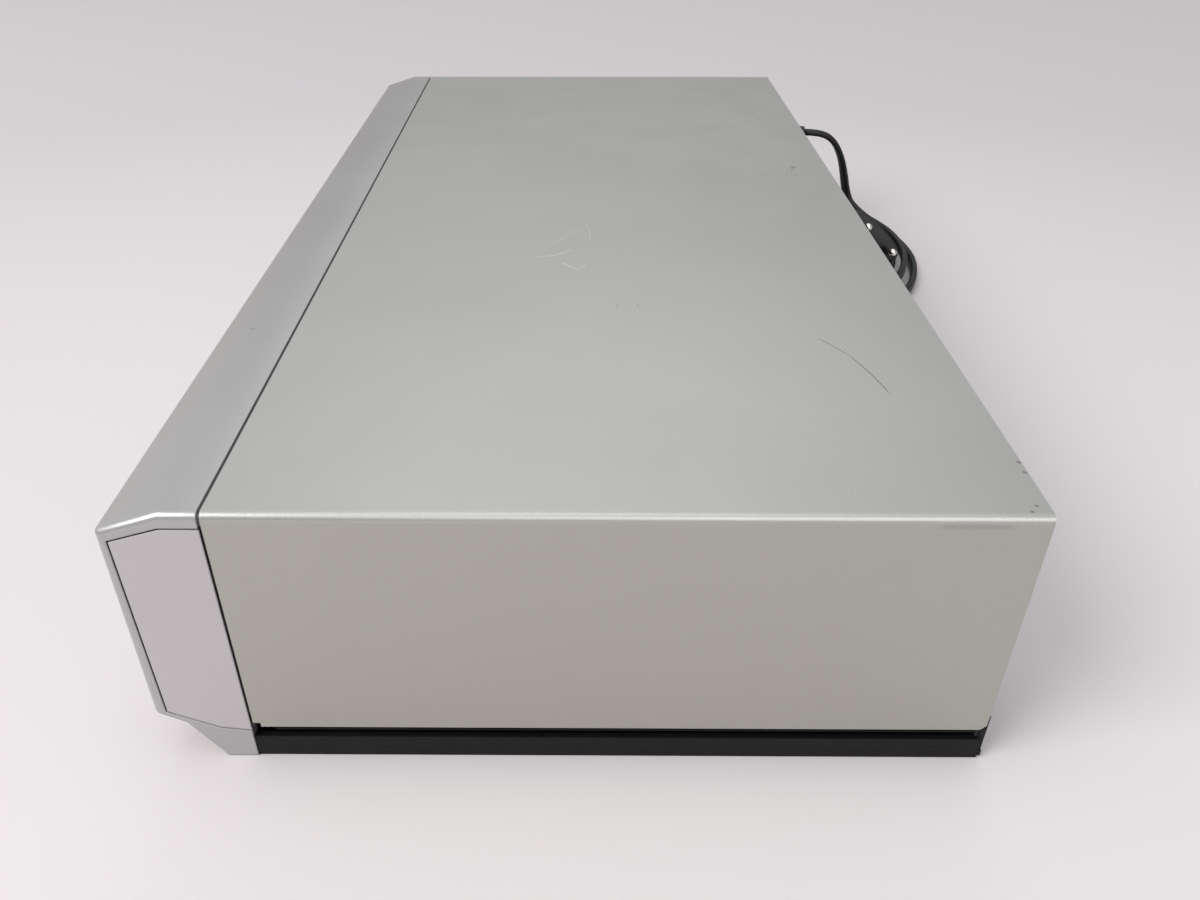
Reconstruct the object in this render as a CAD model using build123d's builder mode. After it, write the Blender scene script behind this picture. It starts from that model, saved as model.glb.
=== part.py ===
from build123d import *
import math
import os

os.makedirs("parts", exist_ok=True)

# A mains-powered video cassette recorder. Millimetres, +X to the right seen from the front,
# -Y to the front, +Z up. The origin is on the table, under the middle of the recorder's box.

# --- Driving dimensions: housing -------------------------------------------------------------
width = 430.0
height = 85.0
cover_depth = 201.0
bezel_depth = 25.5
cover_edge_z = 12.0
foot_height = 1.0
foot_radius = 9.0
button_proud = 1.0
socket_reach = 9.0
sheet = 0.8
seam_gap = 0.8
fold_radius = 2.0
bezel_wall = 2.2
fit_gap = 0.3

crease_depth = 9.5
front_drop = 5.2
bevel_top_z = 18.0
bevel_depth = 17.2
bevel_bottom_z = 13.7
chin_depth = 8.2

cap_thickness = 2.0
cap_groove = 0.5
cap_front = 22.9
cap_front_drop = 8.0
cap_crease = 9.7
cap_top_drop = 4.1
cap_bottom_z = 10.1
cap_chin = 8.6
cap_chin_z = 11.4
cap_low_front = 22.1
cap_low_front_z = 17.6
end_wall = 2.0
lip_length = 5.0
lip_thickness = 2.4
lip_bottom_z = 16.0
front_edge_radius = 1.2
notch_depth = 2.0
notch_height = 1.5
corner_clip = 1.6

half_width = width / 2
total_depth = button_proud + bezel_depth + cover_depth + socket_reach
seam_y = -total_depth / 2 + button_proud + bezel_depth
front_y = seam_y - bezel_depth
rear_y = seam_y + cover_depth
inner_front_y = front_y + bezel_wall
cover_inner_top = height - sheet
cover_inner_half = half_width - sheet

# --- Driving dimensions: base and rear ----------------------------------------------------------
floor_thickness = 2.0
floor_top = foot_height + floor_thickness
skirt_z = 0.2
strip_thickness = 2.0
strip_top_z = 7.5
ledge_z = 9.2
ledge_thickness = 0.6
ledge_width = 2.0
strip_half = half_width - 0.4
rail_thickness = 2.0
rail_top_z = 22.0
rail_half = half_width - 3.5
hem_width = 2.2
tray_rear_top_z = 16.0
tray_rear_overhang = 1.0
tray_front_top_z = 14.0
tray_wall = 2.0
panel_thickness = 1.0
panel_outer_y = rear_y - sheet
panel_inner_y = panel_outer_y - panel_thickness
panel_half = cover_inner_half - 0.6
tab_width = 14.0
tab_height = 10.0
tab_pitch = 150.0
base_screw_x = 110.0
screw_head_radius = 3.0
screw_head_height = 2.0
screw_shank_radius = 1.4
screw_gap = 0.05
screw_bore_depth = 4.5
screw_length = 5.8

# --- Driving dimensions: cassette path and deck -------------------------------------------------
slot_x = -45.0
cassette_width = 188.0
cassette_height = 25.0
slot_margin = 2.0
slot_height = 31.4
slot_top_drop = 8.0
cassette_rest_gap = 1.0
slot_half = cassette_width / 2 + slot_margin
slot_top_z = height - slot_top_drop
slot_bottom_z = slot_top_z - slot_height
cassette_up_z = slot_bottom_z + cassette_rest_gap

board_thickness = 1.6
board_z = 8.0
board_top = board_z + board_thickness
deck_z = 24.0
deck_sheet = 1.2
deck_top = deck_z + deck_sheet
seat_gap = 1.4
drop = cassette_up_z - deck_top - seat_gap

cassette_gap = 0.8
holder_sheet = 0.8
frame_gap = 1.6
frame_sheet = 1.2
slider_gap = 1.0
slider_sheet = 1.0
deck_margin = 1.6
holder_inner = cassette_width / 2 + cassette_gap
frame_inner = holder_inner + holder_sheet + frame_gap
frame_outer = frame_inner + frame_sheet
slider_inner = frame_outer + slider_gap
slider_outer = slider_inner + slider_sheet
deck_half = slider_outer + deck_margin
deck_front = 2.0
deck_rear_gap = 23.0
deck_rear = cover_depth - deck_rear_gap
post_radius = 4.0
post_inset = 13.0
post_x = deck_half - post_inset
post_front = 14.0
post_rear = deck_rear - 6.0

# The deck's datum line lies this far in front of the cover's rear edge.
deck_reach = 201.0
datum_y = rear_y - deck_reach


def at_seam(y):
    """A place y behind the seam between bezel and cover."""
    return seam_y + y


def at_datum(y):
    """A place y behind the deck's datum line."""
    return datum_y + y


def at_deck(x, y):
    """A place on the deck: x from the cassette's middle, y behind the datum line."""
    return (slot_x + x, datum_y + y)


bezel_outline = [
    (seam_y, height),
    (seam_y - crease_depth, height),
    (front_y, height - front_drop),
    (front_y, bevel_top_z),
    (seam_y - bevel_depth, bevel_bottom_z),
    (seam_y - chin_depth, skirt_z),
    (seam_y, skirt_z),
]
past_seam = seam_y + 2 * bezel_wall
bezel_core = [(past_seam, height), *bezel_outline[1:-1], (past_seam, skirt_z)]
cap_outline = [
    (seam_y + cap_groove, height - cap_top_drop),
    (seam_y - cap_crease, height - cap_top_drop),
    (seam_y - cap_front, height - cap_front_drop),
    (seam_y - cap_low_front, cap_low_front_z),
    (seam_y - cap_chin, cap_chin_z),
    (seam_y + cap_groove, cap_bottom_z),
]
bezel_inner_half = half_width - cap_thickness - end_wall

# --- Driving dimensions: controls ---------------------------------------------------------------
button_travel = 0.8
button_gap = 0.35
button_flange = 1.0
flange_margin = 1.2
switch_height = 4.0
switch_size = 6.0
stem_radius = 1.75
control_y = at_seam(-6.0)
board_end_gap = 7.0
control_board_gap = 6.0
key_board_gap = 5.0
control_board_x = (slot_x + deck_half + control_board_gap, half_width - board_end_gap)
key_board_x = (board_end_gap - half_width, slot_x - deck_half - key_board_gap)
control_board_z = (24.0, height - 8.0)
# Five keys in a row share the space left of the two channel keys.
key_row_z = 38.0
key_height = 8.0
key_spacing = 4.0
record_margin = 4.0
key_row = (control_board_x[0] + 16.0, control_board_x[1] - 41.0)
key_pitch = (key_row[1] - key_row[0]) / 4
key_width = key_pitch - key_spacing
channel_x = control_board_x[1] - 14.0
channel_width = 12.0
channel_height = 7.0
wide_key_x = sum(key_board_x) / 2
wide_key_width = key_board_x[1] - key_board_x[0] - 20.0
# Each button: name, centre x, centre z, width, height.
buttons = [
    ("power_button", wide_key_x, slot_top_z - 10.0, wide_key_width, 9.0),
    ("eject_button", wide_key_x, slot_bottom_z + 4.4, wide_key_width, 7.0),
    ("channel_down_button", channel_x, 32.0, channel_width, channel_height),
    ("channel_up_button", channel_x, 43.0, channel_width, channel_height),
]
for i, name in enumerate(("rewind", "play", "fast_forward", "stop", "record")):
    wide = key_width - record_margin if name == "record" else key_width
    buttons.append((f"{name}_button", key_row[0] + i * key_pitch, key_row_z, wide, key_height))
window_x = (control_board_x[0] + 9.0, control_board_x[1] - 6.0)
window_z = (key_row_z + 15.0, height - 10.0)
window_thickness = 1.6
window_flange = 3.0
flap_x = (slot_x - 93.0, slot_x - 27.0)
flap_z = (22.5, slot_bottom_z - 4.6)
flap_thickness = 1.8
flap_recess = 0.3
flap_pin_radius = 0.65
flap_pin_length = 2.0
pin_gap = 0.06
jack_radius = 4.15
jack_bore = 1.6

# --- Housing -------------------------------------------------------------------------------------
door_gap = 0.35
door_thickness = 2.0
door_recess = 0.3
door_axis_y = inner_front_y + 1.8
door_axis_z = slot_top_z
door_pin_radius = 1.0
lug_thickness = 2.2
lug_front = inner_front_y
lug_rear = door_axis_y + door_pin_radius + 1.2
flap_mid_x = sum(flap_x) / 2
flap_front_y = front_y + flap_recess
flap_back_y = flap_front_y + flap_thickness
flap_axis_y = flap_front_y + flap_thickness / 2
flap_axis_z = flap_z[0] + button_gap + flap_thickness / 2
front_jack_reach = 6.0
front_jack_y = flap_back_y + 1.0 + front_jack_reach
bracket_margin = 5.0
# Posts that carry the boards and the socket bracket behind the front: x, z, rear end y.
post_width = 4.0
post_edge = 2.5
post_heights = (control_board_z[0] + post_edge, control_board_z[1] - post_edge)
post_columns = [control_board_x[0] + 3.2, control_board_x[1] - 2.2]
post_columns += [key_board_x[0] + post_edge, key_board_x[1] - post_edge]
board_posts = [(x, z, control_y) for x in post_columns for z in post_heights]
bracket_post_x = (flap_x[0] - bracket_margin + 3.0, flap_x[1] + bracket_margin - 3.0)
bracket_post_z = (flap_z[0] + 1.25, flap_z[1] - 1.25)
board_posts += [(x, z, front_jack_y) for x in bracket_post_x for z in bracket_post_z]

with BuildPart() as front_bezel:
    with BuildSketch(Plane.YZ.offset(-half_width)):
        with BuildLine():
            Polyline(*bezel_outline, close=True)
        make_face()
    extrude(amount=width)
    # The front top edge and the edges of both ends are rounded, like the cover's fold.
    front_edges = front_bezel.edges().filter_by(Axis.X).group_by(Axis.Y)[0]
    fillet(front_edges.sort_by(Axis.Z)[-1], radius=front_edge_radius)
    for end in (front_bezel.faces().sort_by(Axis.X)[0], front_bezel.faces().sort_by(Axis.X)[-1]):
        upper = end.edges().filter_by(lambda edge: edge.center().Z > bevel_top_z)
        fillet(upper.filter_by(lambda edge: edge.center().Y < at_seam(-1.0)), radius=fold_radius)
    with BuildSketch(Plane.YZ.offset(-bezel_inner_half)):
        with BuildLine():
            Polyline(*bezel_core, close=True)
        make_face()
        offset(amount=-bezel_wall, kind=Kind.INTERSECTION)
    extrude(amount=2 * bezel_inner_half, mode=Mode.SUBTRACT)
    for side in (-1, 1):
        with BuildSketch(Plane.YZ.offset(side * half_width)):
            with BuildLine():
                Polyline(*cap_outline, close=True)
            make_face()
        extrude(amount=-side * cap_thickness, mode=Mode.SUBTRACT)
    # The lip that the cover's front edge lies over.
    with BuildSketch(Plane.XZ.offset(-seam_y)):
        with Locations((0, lip_bottom_z)):
            Rectangle(2 * cover_inner_half, cover_inner_top - lip_bottom_z, align=(Align.CENTER, Align.MIN))
            Rectangle(
                2 * (cover_inner_half - lip_thickness),
                cover_inner_top - lip_thickness - lip_bottom_z,
                align=(Align.CENTER, Align.MIN),
                mode=Mode.SUBTRACT,
            )
        fillet(vertices().group_by(Axis.Y)[-1], radius=fold_radius - sheet)
    extrude(amount=-lip_length)
    # Cassette slot, display window, flap recess and button holes.
    with BuildSketch(Plane.XZ.offset(-front_y)):
        with Locations((slot_x, (slot_bottom_z + slot_top_z) / 2)):
            Rectangle(2 * slot_half, slot_top_z - slot_bottom_z)
        with Locations((sum(window_x) / 2, sum(window_z) / 2)):
            Rectangle(window_x[1] - window_x[0], window_z[1] - window_z[0])
        with Locations((sum(flap_x) / 2, sum(flap_z) / 2)):
            Rectangle(flap_x[1] - flap_x[0], flap_z[1] - flap_z[0])
        for name, x, z, wide, high in buttons:
            with Locations((x, z)):
                RectangleRounded(wide, high, 1.0)
    extrude(amount=-bezel_wall, mode=Mode.SUBTRACT)
    # Lugs that carry the pins of the cassette door.
    for side in (-1, 1):
        start = slot_x + side * slot_half
        with BuildSketch(Plane.YZ.offset(start)):
            with Locations(((lug_front + lug_rear) / 2, door_axis_z - 2.5)):
                Rectangle(lug_rear - lug_front, 5.0 + 2.0, align=(Align.CENTER, Align.CENTER))
        extrude(amount=side * lug_thickness)
        with BuildSketch(Plane.YZ.offset(start)):
            with Locations((door_axis_y, door_axis_z)):
                Circle(door_pin_radius + pin_gap)
        extrude(amount=side * lug_thickness, mode=Mode.SUBTRACT)
    # Blind bores for the flap's pins, in the ends of its opening.
    for end_x, side in zip(flap_x, (-1, 1)):
        with BuildSketch(Plane.YZ.offset(end_x)):
            with Locations((flap_axis_y, flap_axis_z)):
                Circle(flap_pin_radius + pin_gap)
        extrude(amount=side * flap_pin_length, mode=Mode.SUBTRACT)
    for x, z, end_y in board_posts:
        with BuildSketch(Plane.XZ.offset(-inner_front_y)):
            with Locations((x, z)):
                Rectangle(post_width, post_width)
        extrude(amount=-(end_y - inner_front_y))
front_bezel.part.label = "front_bezel"
export_step(front_bezel.part, "parts/front_bezel.step")

# The inset panel in each end of the bezel, with a thin groove round it.
for name, side in (("end_cap_left", -1), ("end_cap_right", 1)):
    with BuildPart() as end_cap:
        with BuildSketch(Plane.YZ.offset(side * (half_width - cap_thickness))):
            with BuildLine():
                Polyline(*cap_outline, close=True)
            make_face()
            offset(amount=-cap_groove, kind=Kind.INTERSECTION)
        extrude(amount=side * cap_thickness)
    end_cap.part.label = name
    export_step(end_cap.part, f"parts/{name}.step")

# The U-shaped steel cover, its inward hems and the rear tabs that it is screwed down by.
with BuildPart() as top_cover:
    with BuildSketch(Plane.XZ.offset(-(seam_y + seam_gap))):
        with Locations((0, cover_edge_z)):
            Rectangle(width, height - cover_edge_z, align=(Align.CENTER, Align.MIN))
        fillet(vertices().group_by(Axis.Y)[-1], radius=fold_radius)
    extrude(amount=-(cover_depth - seam_gap))
    with BuildSketch(Plane.XZ.offset(-(seam_y + seam_gap))):
        with Locations((0, cover_edge_z)):
            Rectangle(
                2 * cover_inner_half, cover_inner_top - cover_edge_z, align=(Align.CENTER, Align.MIN)
            )
        fillet(vertices().group_by(Axis.Y)[-1], radius=fold_radius - sheet)
        for side in (-1, 1):
            with Locations((side * (cover_inner_half - hem_width / 2), cover_edge_z)):
                Rectangle(hem_width, sheet, align=(Align.CENTER, Align.MIN), mode=Mode.SUBTRACT)
    extrude(amount=-(cover_depth - seam_gap), mode=Mode.SUBTRACT)
    with BuildSketch(Plane.XZ.offset(-rear_y)):
        with Locations(*[(i * tab_pitch, height - sheet / 2) for i in (-1, 0, 1)]):
            Rectangle(tab_width, tab_height, align=(Align.CENTER, Align.MAX))
        fillet(vertices().group_by(Axis.Y)[0], radius=tab_height / 4)
    extrude(amount=sheet)
    with BuildSketch(Plane.XZ.offset(-rear_y)):
        with Locations(*[(i * tab_pitch, height - tab_height * 0.6) for i in (-1, 0, 1)]):
            Circle(screw_shank_radius + fit_gap)
    extrude(amount=sheet, mode=Mode.SUBTRACT)
    # Small notch at each lower front corner and clipped lower rear corners.
    for side in (-1, 1):
        with BuildSketch(Plane.YZ.offset(side * half_width)):
            with Locations((seam_y + seam_gap, cover_edge_z)):
                Rectangle(2 * notch_depth, 2 * notch_height)
            with BuildLine():
                Polyline(
                    (rear_y, cover_edge_z),
                    (rear_y - corner_clip, cover_edge_z),
                    (rear_y, cover_edge_z + corner_clip),
                    close=True,
                )
            make_face()
        extrude(amount=-side * (sheet + hem_width), mode=Mode.SUBTRACT)
top_cover.part.label = "top_cover"
export_step(top_cover.part, "parts/top_cover.step")

# The black base: floor, outer strip, inner rails, end walls, bosses, deck posts and vents.
tray_rear_y = rear_y + tray_rear_overhang
main_board_x = (slot_x - deck_half + 1.0, half_width - 10.0)
main_board_y = (12.0, cover_depth - 11.0)
power_board_y = (38.0, cover_depth - 15.0)
board_bosses = [(-20.0, 60.0)]
board_bosses += [(x, y) for x in (60.0, half_width - 25.0) for y in (20.0, 150.0)]
power_boss_x = (key_board_x[0] + 6.0, key_board_x[1] - 8.0)
power_boss_y = (power_board_y[0] + 7.0, power_board_y[1] - 5.0)
power_bosses = [(x, y) for x in power_boss_x for y in power_boss_y]
boss_radius = 3.5
deck_posts = [(slot_x + i * post_x, at_seam(y)) for i in (-1, 1) for y in (post_front, post_rear)]
foot_x = half_width - 30.0
foot_front = 18.0
foot_rear = cover_depth - 23.0
foot_places = [(i * foot_x, at_seam(y)) for i in (-1, 1) for y in (foot_front, foot_rear)]
vent_x = (35.0 - half_width, -20.0, half_width - 85.0)
vent_y = 110.0
vent_slot = (28.0, 3.0)
vent_pitch = (8.0, 40.0)

with BuildPart() as chassis_tray:
    with BuildSketch(Plane.XY.offset(foot_height)):
        with Locations((0, seam_y)):
            Rectangle(2 * strip_half, tray_rear_y - seam_y, align=(Align.CENTER, Align.MIN))
    extrude(amount=floor_thickness)
    for side in (-1, 1):
        with BuildSketch(Plane.XY.offset(skirt_z)):
            with Locations((side * (strip_half - strip_thickness / 2), seam_y)):
                Rectangle(strip_thickness, rear_y - seam_y, align=(Align.CENTER, Align.MIN))
        extrude(amount=strip_top_z - skirt_z)
        with BuildSketch(Plane.XY.offset(ledge_z)):
            with Locations((side * (rail_half + (ledge_width - rail_thickness) / 2), at_seam(lip_length + 1.0))):
                Rectangle(
                    ledge_width + rail_thickness,
                    panel_inner_y - at_seam(lip_length + 1.0) - fit_gap,
                    align=(Align.CENTER, Align.MIN),
                )
        extrude(amount=ledge_thickness)
        with BuildSketch(Plane.XY.offset(floor_top)):
            with Locations((side * (rail_half - rail_thickness / 2), at_seam(lip_length + 1.0))):
                Rectangle(
                    rail_thickness,
                    panel_inner_y - at_seam(lip_length + 1.0) - fit_gap,
                    align=(Align.CENTER, Align.MIN),
                )
        extrude(amount=rail_top_z - floor_top)
    with BuildSketch(Plane.XY.offset(floor_top)):
        with Locations((0, seam_y)):
            Rectangle(2 * (rail_half - rail_thickness), tray_wall, align=(Align.CENTER, Align.MIN))
    extrude(amount=tray_front_top_z - floor_top)
    with BuildSketch(Plane.XZ.offset(-tray_rear_y)):
        with Locations((0, floor_top)):
            Rectangle(
                2 * (cover_inner_half - fit_gap),
                tray_rear_top_z - floor_top,
                align=(Align.CENTER, Align.MIN),
            )
    extrude(amount=tray_rear_y - panel_outer_y)
    with BuildSketch(Plane.XY.offset(floor_top)):
        with Locations(*deck_posts):
            Circle(post_radius)
    extrude(amount=deck_z - floor_top)
    with BuildSketch(Plane.XY.offset(floor_top)):
        with Locations(*[(x, at_seam(y)) for x, y in board_bosses + power_bosses]):
            Circle(boss_radius)
    extrude(amount=board_z - floor_top)
    with BuildSketch(Plane.XY.offset(deck_z)):
        with Locations(*deck_posts):
            Circle(screw_shank_radius + screw_gap)
    extrude(amount=-screw_length, mode=Mode.SUBTRACT)
    with BuildSketch(Plane.XY.offset(board_z)):
        with Locations(*[(x, at_seam(y)) for x, y in board_bosses + power_bosses]):
            Circle(screw_shank_radius + screw_gap)
    extrude(amount=-screw_bore_depth, mode=Mode.SUBTRACT)
    with BuildSketch(Plane.XY.offset(foot_height)):
        for x in vent_x:
            with Locations((x, at_seam(vent_y))):
                with GridLocations(vent_pitch[0], vent_pitch[1], 5, 2):
                    SlotOverall(vent_slot[0], vent_slot[1], rotation=90)
    extrude(amount=floor_thickness, mode=Mode.SUBTRACT)
    with BuildSketch(Plane.XZ.offset(-tray_rear_y)):
        with Locations(*[(i * base_screw_x, tray_rear_top_z - 5.0) for i in (-1, 1)]):
            Circle(screw_shank_radius + screw_gap)
    extrude(amount=tray_rear_y - panel_outer_y, mode=Mode.SUBTRACT)
chassis_tray.part.label = "chassis_tray"
export_step(chassis_tray.part, "parts/chassis_tray.step")

with BuildPart() as feet:
    with BuildSketch():
        with Locations(*foot_places):
            Circle(foot_radius)
    extrude(amount=foot_height)
feet.part.label = "feet"
export_step(feet.part, "parts/feet.step")

# --- Rear panel and its fittings -----------------------------------------------------------------
gland_x = 23.0 - half_width
gland_z = height - 26.5
gland_radius = 6.0
aerial_x = (half_width - 67.0, half_width - 43.0)
aerial_z = 34.0
aerial_radius = 4.75
aerial_wall = 0.75
aerial_bore = 4.85
aerial_outer = 6.0
contact_pin = 1.2
contact_sleeve = 2.0
scart_x = (20.0, 82.0)
scart_z = 42.0
scart_width = 48.0
scart_height = 15.6
scart_wall = 1.2
scart_proud = 2.0
scart_depth = 14.0
phono_x = (-40.0, -24.0)
phono_z = 42.0
phono_reach = 8.0
phono_collar = 5.2
jack_board_y = rear_y - 18.0
jack_board_x = (phono_x[0] - 12.0, scart_x[1] + 30.0)
jack_board_height = 48.0
panel_vent_x = -120.0


def scart_outline(margin):
    """The socket's outline in the panel's plane, margin outside it: a box with one raked end."""
    w = scart_width / 2 + margin
    h = scart_height / 2 + margin
    return [(-w, -h), (w - h * 0.35, -h), (w, h), (-w, h)]


with BuildPart() as rear_panel:
    with BuildSketch(Plane.XZ.offset(-panel_outer_y)):
        with Locations((0, floor_top)):
            Rectangle(2 * panel_half, cover_inner_top - floor_top, align=(Align.CENTER, Align.MIN))
        fillet(vertices().group_by(Axis.Y)[-1], radius=fold_radius - sheet)
        for side in (-1, 1):
            with Locations((side * panel_half, floor_top)):
                Rectangle(
                    2 * (panel_half - strip_half + strip_thickness + fit_gap),
                    2 * (strip_top_z + fit_gap - floor_top),
                    mode=Mode.SUBTRACT,
                )
        for x in scart_x:
            with BuildLine(Plane.XY.offset(0)):
                Polyline(*[(x + u, scart_z + v) for u, v in scart_outline(fit_gap)], close=True)
            make_face(mode=Mode.SUBTRACT)
        with Locations(*[(x, aerial_z) for x in aerial_x]):
            Circle(aerial_outer + fit_gap, mode=Mode.SUBTRACT)
        with Locations(*[(x, phono_z) for x in phono_x]):
            Circle(phono_collar + fit_gap, mode=Mode.SUBTRACT)
        with Locations((gland_x, gland_z)):
            Circle(gland_radius + screw_gap, mode=Mode.SUBTRACT)
        with Locations(*[(i * tab_pitch, height - tab_height * 0.6) for i in (-1, 0, 1)]):
            Circle(screw_shank_radius + screw_gap, mode=Mode.SUBTRACT)
        with Locations(*[(i * base_screw_x, tray_rear_top_z - 5.0) for i in (-1, 1)]):
            Circle(screw_shank_radius + screw_gap, mode=Mode.SUBTRACT)
        with Locations((panel_vent_x, 45.0)):
            with GridLocations(7.0, 0, 9, 1):
                SlotOverall(26.0, 3.0, rotation=90, mode=Mode.SUBTRACT)
    extrude(amount=panel_thickness)
rear_panel.part.label = "rear_panel"
export_step(rear_panel.part, "parts/rear_panel.step")

cross_length = 3.4
cross_width = 0.8
cross_depth = 1.0
# Eighteen identical pan-head screws. On the rear: three in the cover's tabs, two in the base's wall.
rear_screws = [(i * tab_pitch, height - tab_height * 0.6, rear_y) for i in (-1, 0, 1)]
rear_screws += [(i * base_screw_x, tray_rear_top_z - 5.0, tray_rear_y) for i in (-1, 1)]
# Inside: one in each deck post, down through the deck plate, and one in each boss.
down_screws = [(x, y, deck_top) for x, y in deck_posts]
down_screws += [(x, at_seam(y), board_top) for x, y in board_bosses + power_bosses]
seats = [Plane(origin=(x, y, z), z_dir=(0, 1, 0)) for x, z, y in rear_screws]
seats += [Plane(origin=place, z_dir=(0, 0, 1)) for place in down_screws]
with BuildPart() as cover_screws:
    for seat in seats:
        with BuildSketch(seat):
            Circle(screw_shank_radius)
        extrude(amount=-screw_length)
        with BuildSketch(seat):
            Circle(screw_head_radius)
        extrude(amount=screw_head_height)
        with BuildSketch(seat.offset(screw_head_height)):
            Rectangle(cross_length, cross_width)
            Rectangle(cross_width, cross_length)
        extrude(amount=-cross_depth, mode=Mode.SUBTRACT)
cover_screws.part.label = "cover_screws"
export_step(cover_screws.part, "parts/cover_screws.step")

# --- Boards ---------------------------------------------------------------------------------------
chip_size = (24.0, 10.0, 3.0)
chip_places = [(150.0, 60.0), (95.0, 60.0), (95.0, 110.0)]
capacitor_radius = 4.0
capacitor_height = 12.0
capacitor_pitch = 18.0
with BuildPart() as main_board:
    with BuildSketch(Plane.XY.offset(board_z)):
        with Locations((sum(main_board_x) / 2, at_seam(sum(main_board_y) / 2))):
            Rectangle(main_board_x[1] - main_board_x[0], main_board_y[1] - main_board_y[0])
        with Locations(*deck_posts):
            Circle(post_radius + 1.0, mode=Mode.SUBTRACT)
        with Locations(*[(x, at_seam(y)) for x, y in board_bosses]):
            Circle(screw_shank_radius + screw_gap, mode=Mode.SUBTRACT)
    extrude(amount=board_thickness)
    # Chips and electrolytic capacitors on the open right-hand area.
    with BuildSketch(Plane.XY.offset(board_top)):
        with Locations(*[(x, at_seam(y)) for x, y in chip_places]):
            Rectangle(chip_size[0], chip_size[1])
    extrude(amount=chip_size[2])
    with BuildSketch(Plane.XY.offset(board_top)):
        with Locations((130.0, at_seam(90.0))):
            with GridLocations(capacitor_pitch, capacitor_pitch, 3, 2):
                Circle(capacitor_radius)
    extrude(amount=capacitor_height)
main_board.part.label = "main_board"
export_step(main_board.part, "parts/main_board.step")

# The power board: a large and three small capacitors at the front, a finned heat sink at the rear.
bulk_radius = 11.0
bulk_height = 30.0
small_radius = 5.0
small_height = 20.0
small_pitch = 13.0
sink_plate = 3.0
sink_length = 40.0
sink_height = 35.0
sink_fin = 8.0
fin_thickness = 1.6
sink_x = key_board_x[1] - 12.0
sink_y = power_board_y[1] - sink_length / 2 - 10.0
with BuildPart() as power_board:
    with BuildSketch(Plane.XY.offset(board_z)):
        with Locations((sum(key_board_x) / 2, at_seam(sum(power_board_y) / 2))):
            Rectangle(key_board_x[1] - key_board_x[0], power_board_y[1] - power_board_y[0])
        with Locations(*[(x, at_seam(y)) for x, y in power_bosses]):
            Circle(screw_shank_radius + screw_gap, mode=Mode.SUBTRACT)
    extrude(amount=board_thickness)
    with BuildSketch(Plane.XY.offset(board_top)):
        with Locations((key_board_x[1] - bulk_radius - 6.0, at_seam(power_board_y[0] + bulk_radius + 13.0))):
            Circle(bulk_radius)
    extrude(amount=bulk_height)
    with BuildSketch(Plane.XY.offset(board_top)):
        with Locations((key_board_x[0] + small_radius + 10.0, at_seam(power_board_y[0] + small_pitch + 8.0))):
            with GridLocations(0, small_pitch, 1, 3):
                Circle(small_radius)
    extrude(amount=small_height)
    with BuildSketch(Plane.XY.offset(board_top)):
        with Locations((sink_x, at_seam(sink_y))):
            Rectangle(sink_plate, sink_length)
        with Locations((sink_x + (sink_plate + sink_fin) / 2, at_seam(sink_y))):
            with GridLocations(0, (sink_length - fin_thickness) / 5, 1, 6):
                Rectangle(sink_fin, fin_thickness)
    extrude(amount=sink_height)
power_board.part.label = "power_board"
export_step(power_board.part, "parts/power_board.step")

transformer_size = (32.0, 28.0, 26.0)
winding_radius = 10.0
winding_length = 34.0
transformer_x = key_board_x[0] + transformer_size[0] / 2 + 4.0
transformer_y = sink_y - sink_length / 2 - winding_length / 2 - 4.0
with BuildPart() as power_transformer:
    with BuildSketch(Plane.XY.offset(board_top)):
        with Locations((transformer_x, at_seam(transformer_y))):
            Rectangle(transformer_size[0], transformer_size[1])
    extrude(amount=transformer_size[2])
    with BuildSketch(Plane.XZ.offset(-at_seam(transformer_y))):
        with Locations((transformer_x, board_top + transformer_size[2] / 2)):
            Circle(winding_radius)
    extrude(amount=winding_length / 2, both=True)
power_transformer.part.label = "power_transformer"
export_step(power_transformer.part, "parts/power_transformer.step")

tube_share = 0.6
tube_height = 18.0
tube_depth = 9.0
tube_width = tube_share * (window_x[1] - window_x[0])
with BuildPart() as control_board:
    with BuildSketch(Plane.XZ.offset(-control_y)):
        with Locations((sum(control_board_x) / 2, sum(control_board_z) / 2)):
            Rectangle(control_board_x[1] - control_board_x[0], control_board_z[1] - control_board_z[0])
    extrude(amount=-board_thickness)
    with BuildSketch(Plane.XZ.offset(-control_y)):
        with Locations(*[(x, z) for name, x, z, w, h in buttons if x > 0]):
            Rectangle(switch_size, switch_size)
    extrude(amount=switch_height)
    # The fluorescent display tube behind the window.
    with BuildSketch(Plane.XZ.offset(-control_y)):
        with Locations((window_x[0] + tube_depth + tube_width / 2, sum(window_z) / 2)):
            Rectangle(tube_width, min(tube_height, window_z[1] - window_z[0]))
    extrude(amount=tube_depth)
control_board.part.label = "control_board"
export_step(control_board.part, "parts/control_board.step")

with BuildPart() as key_board:
    with BuildSketch(Plane.XZ.offset(-control_y)):
        with Locations((sum(key_board_x) / 2, sum(control_board_z) / 2)):
            Rectangle(key_board_x[1] - key_board_x[0], control_board_z[1] - control_board_z[0])
    extrude(amount=-board_thickness)
    with BuildSketch(Plane.XZ.offset(-control_y)):
        with Locations(*[(x, z) for name, x, z, w, h in buttons if x < 0]):
            Rectangle(switch_size, switch_size)
    extrude(amount=switch_height)
key_board.part.label = "key_board"
export_step(key_board.part, "parts/key_board.step")

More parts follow.
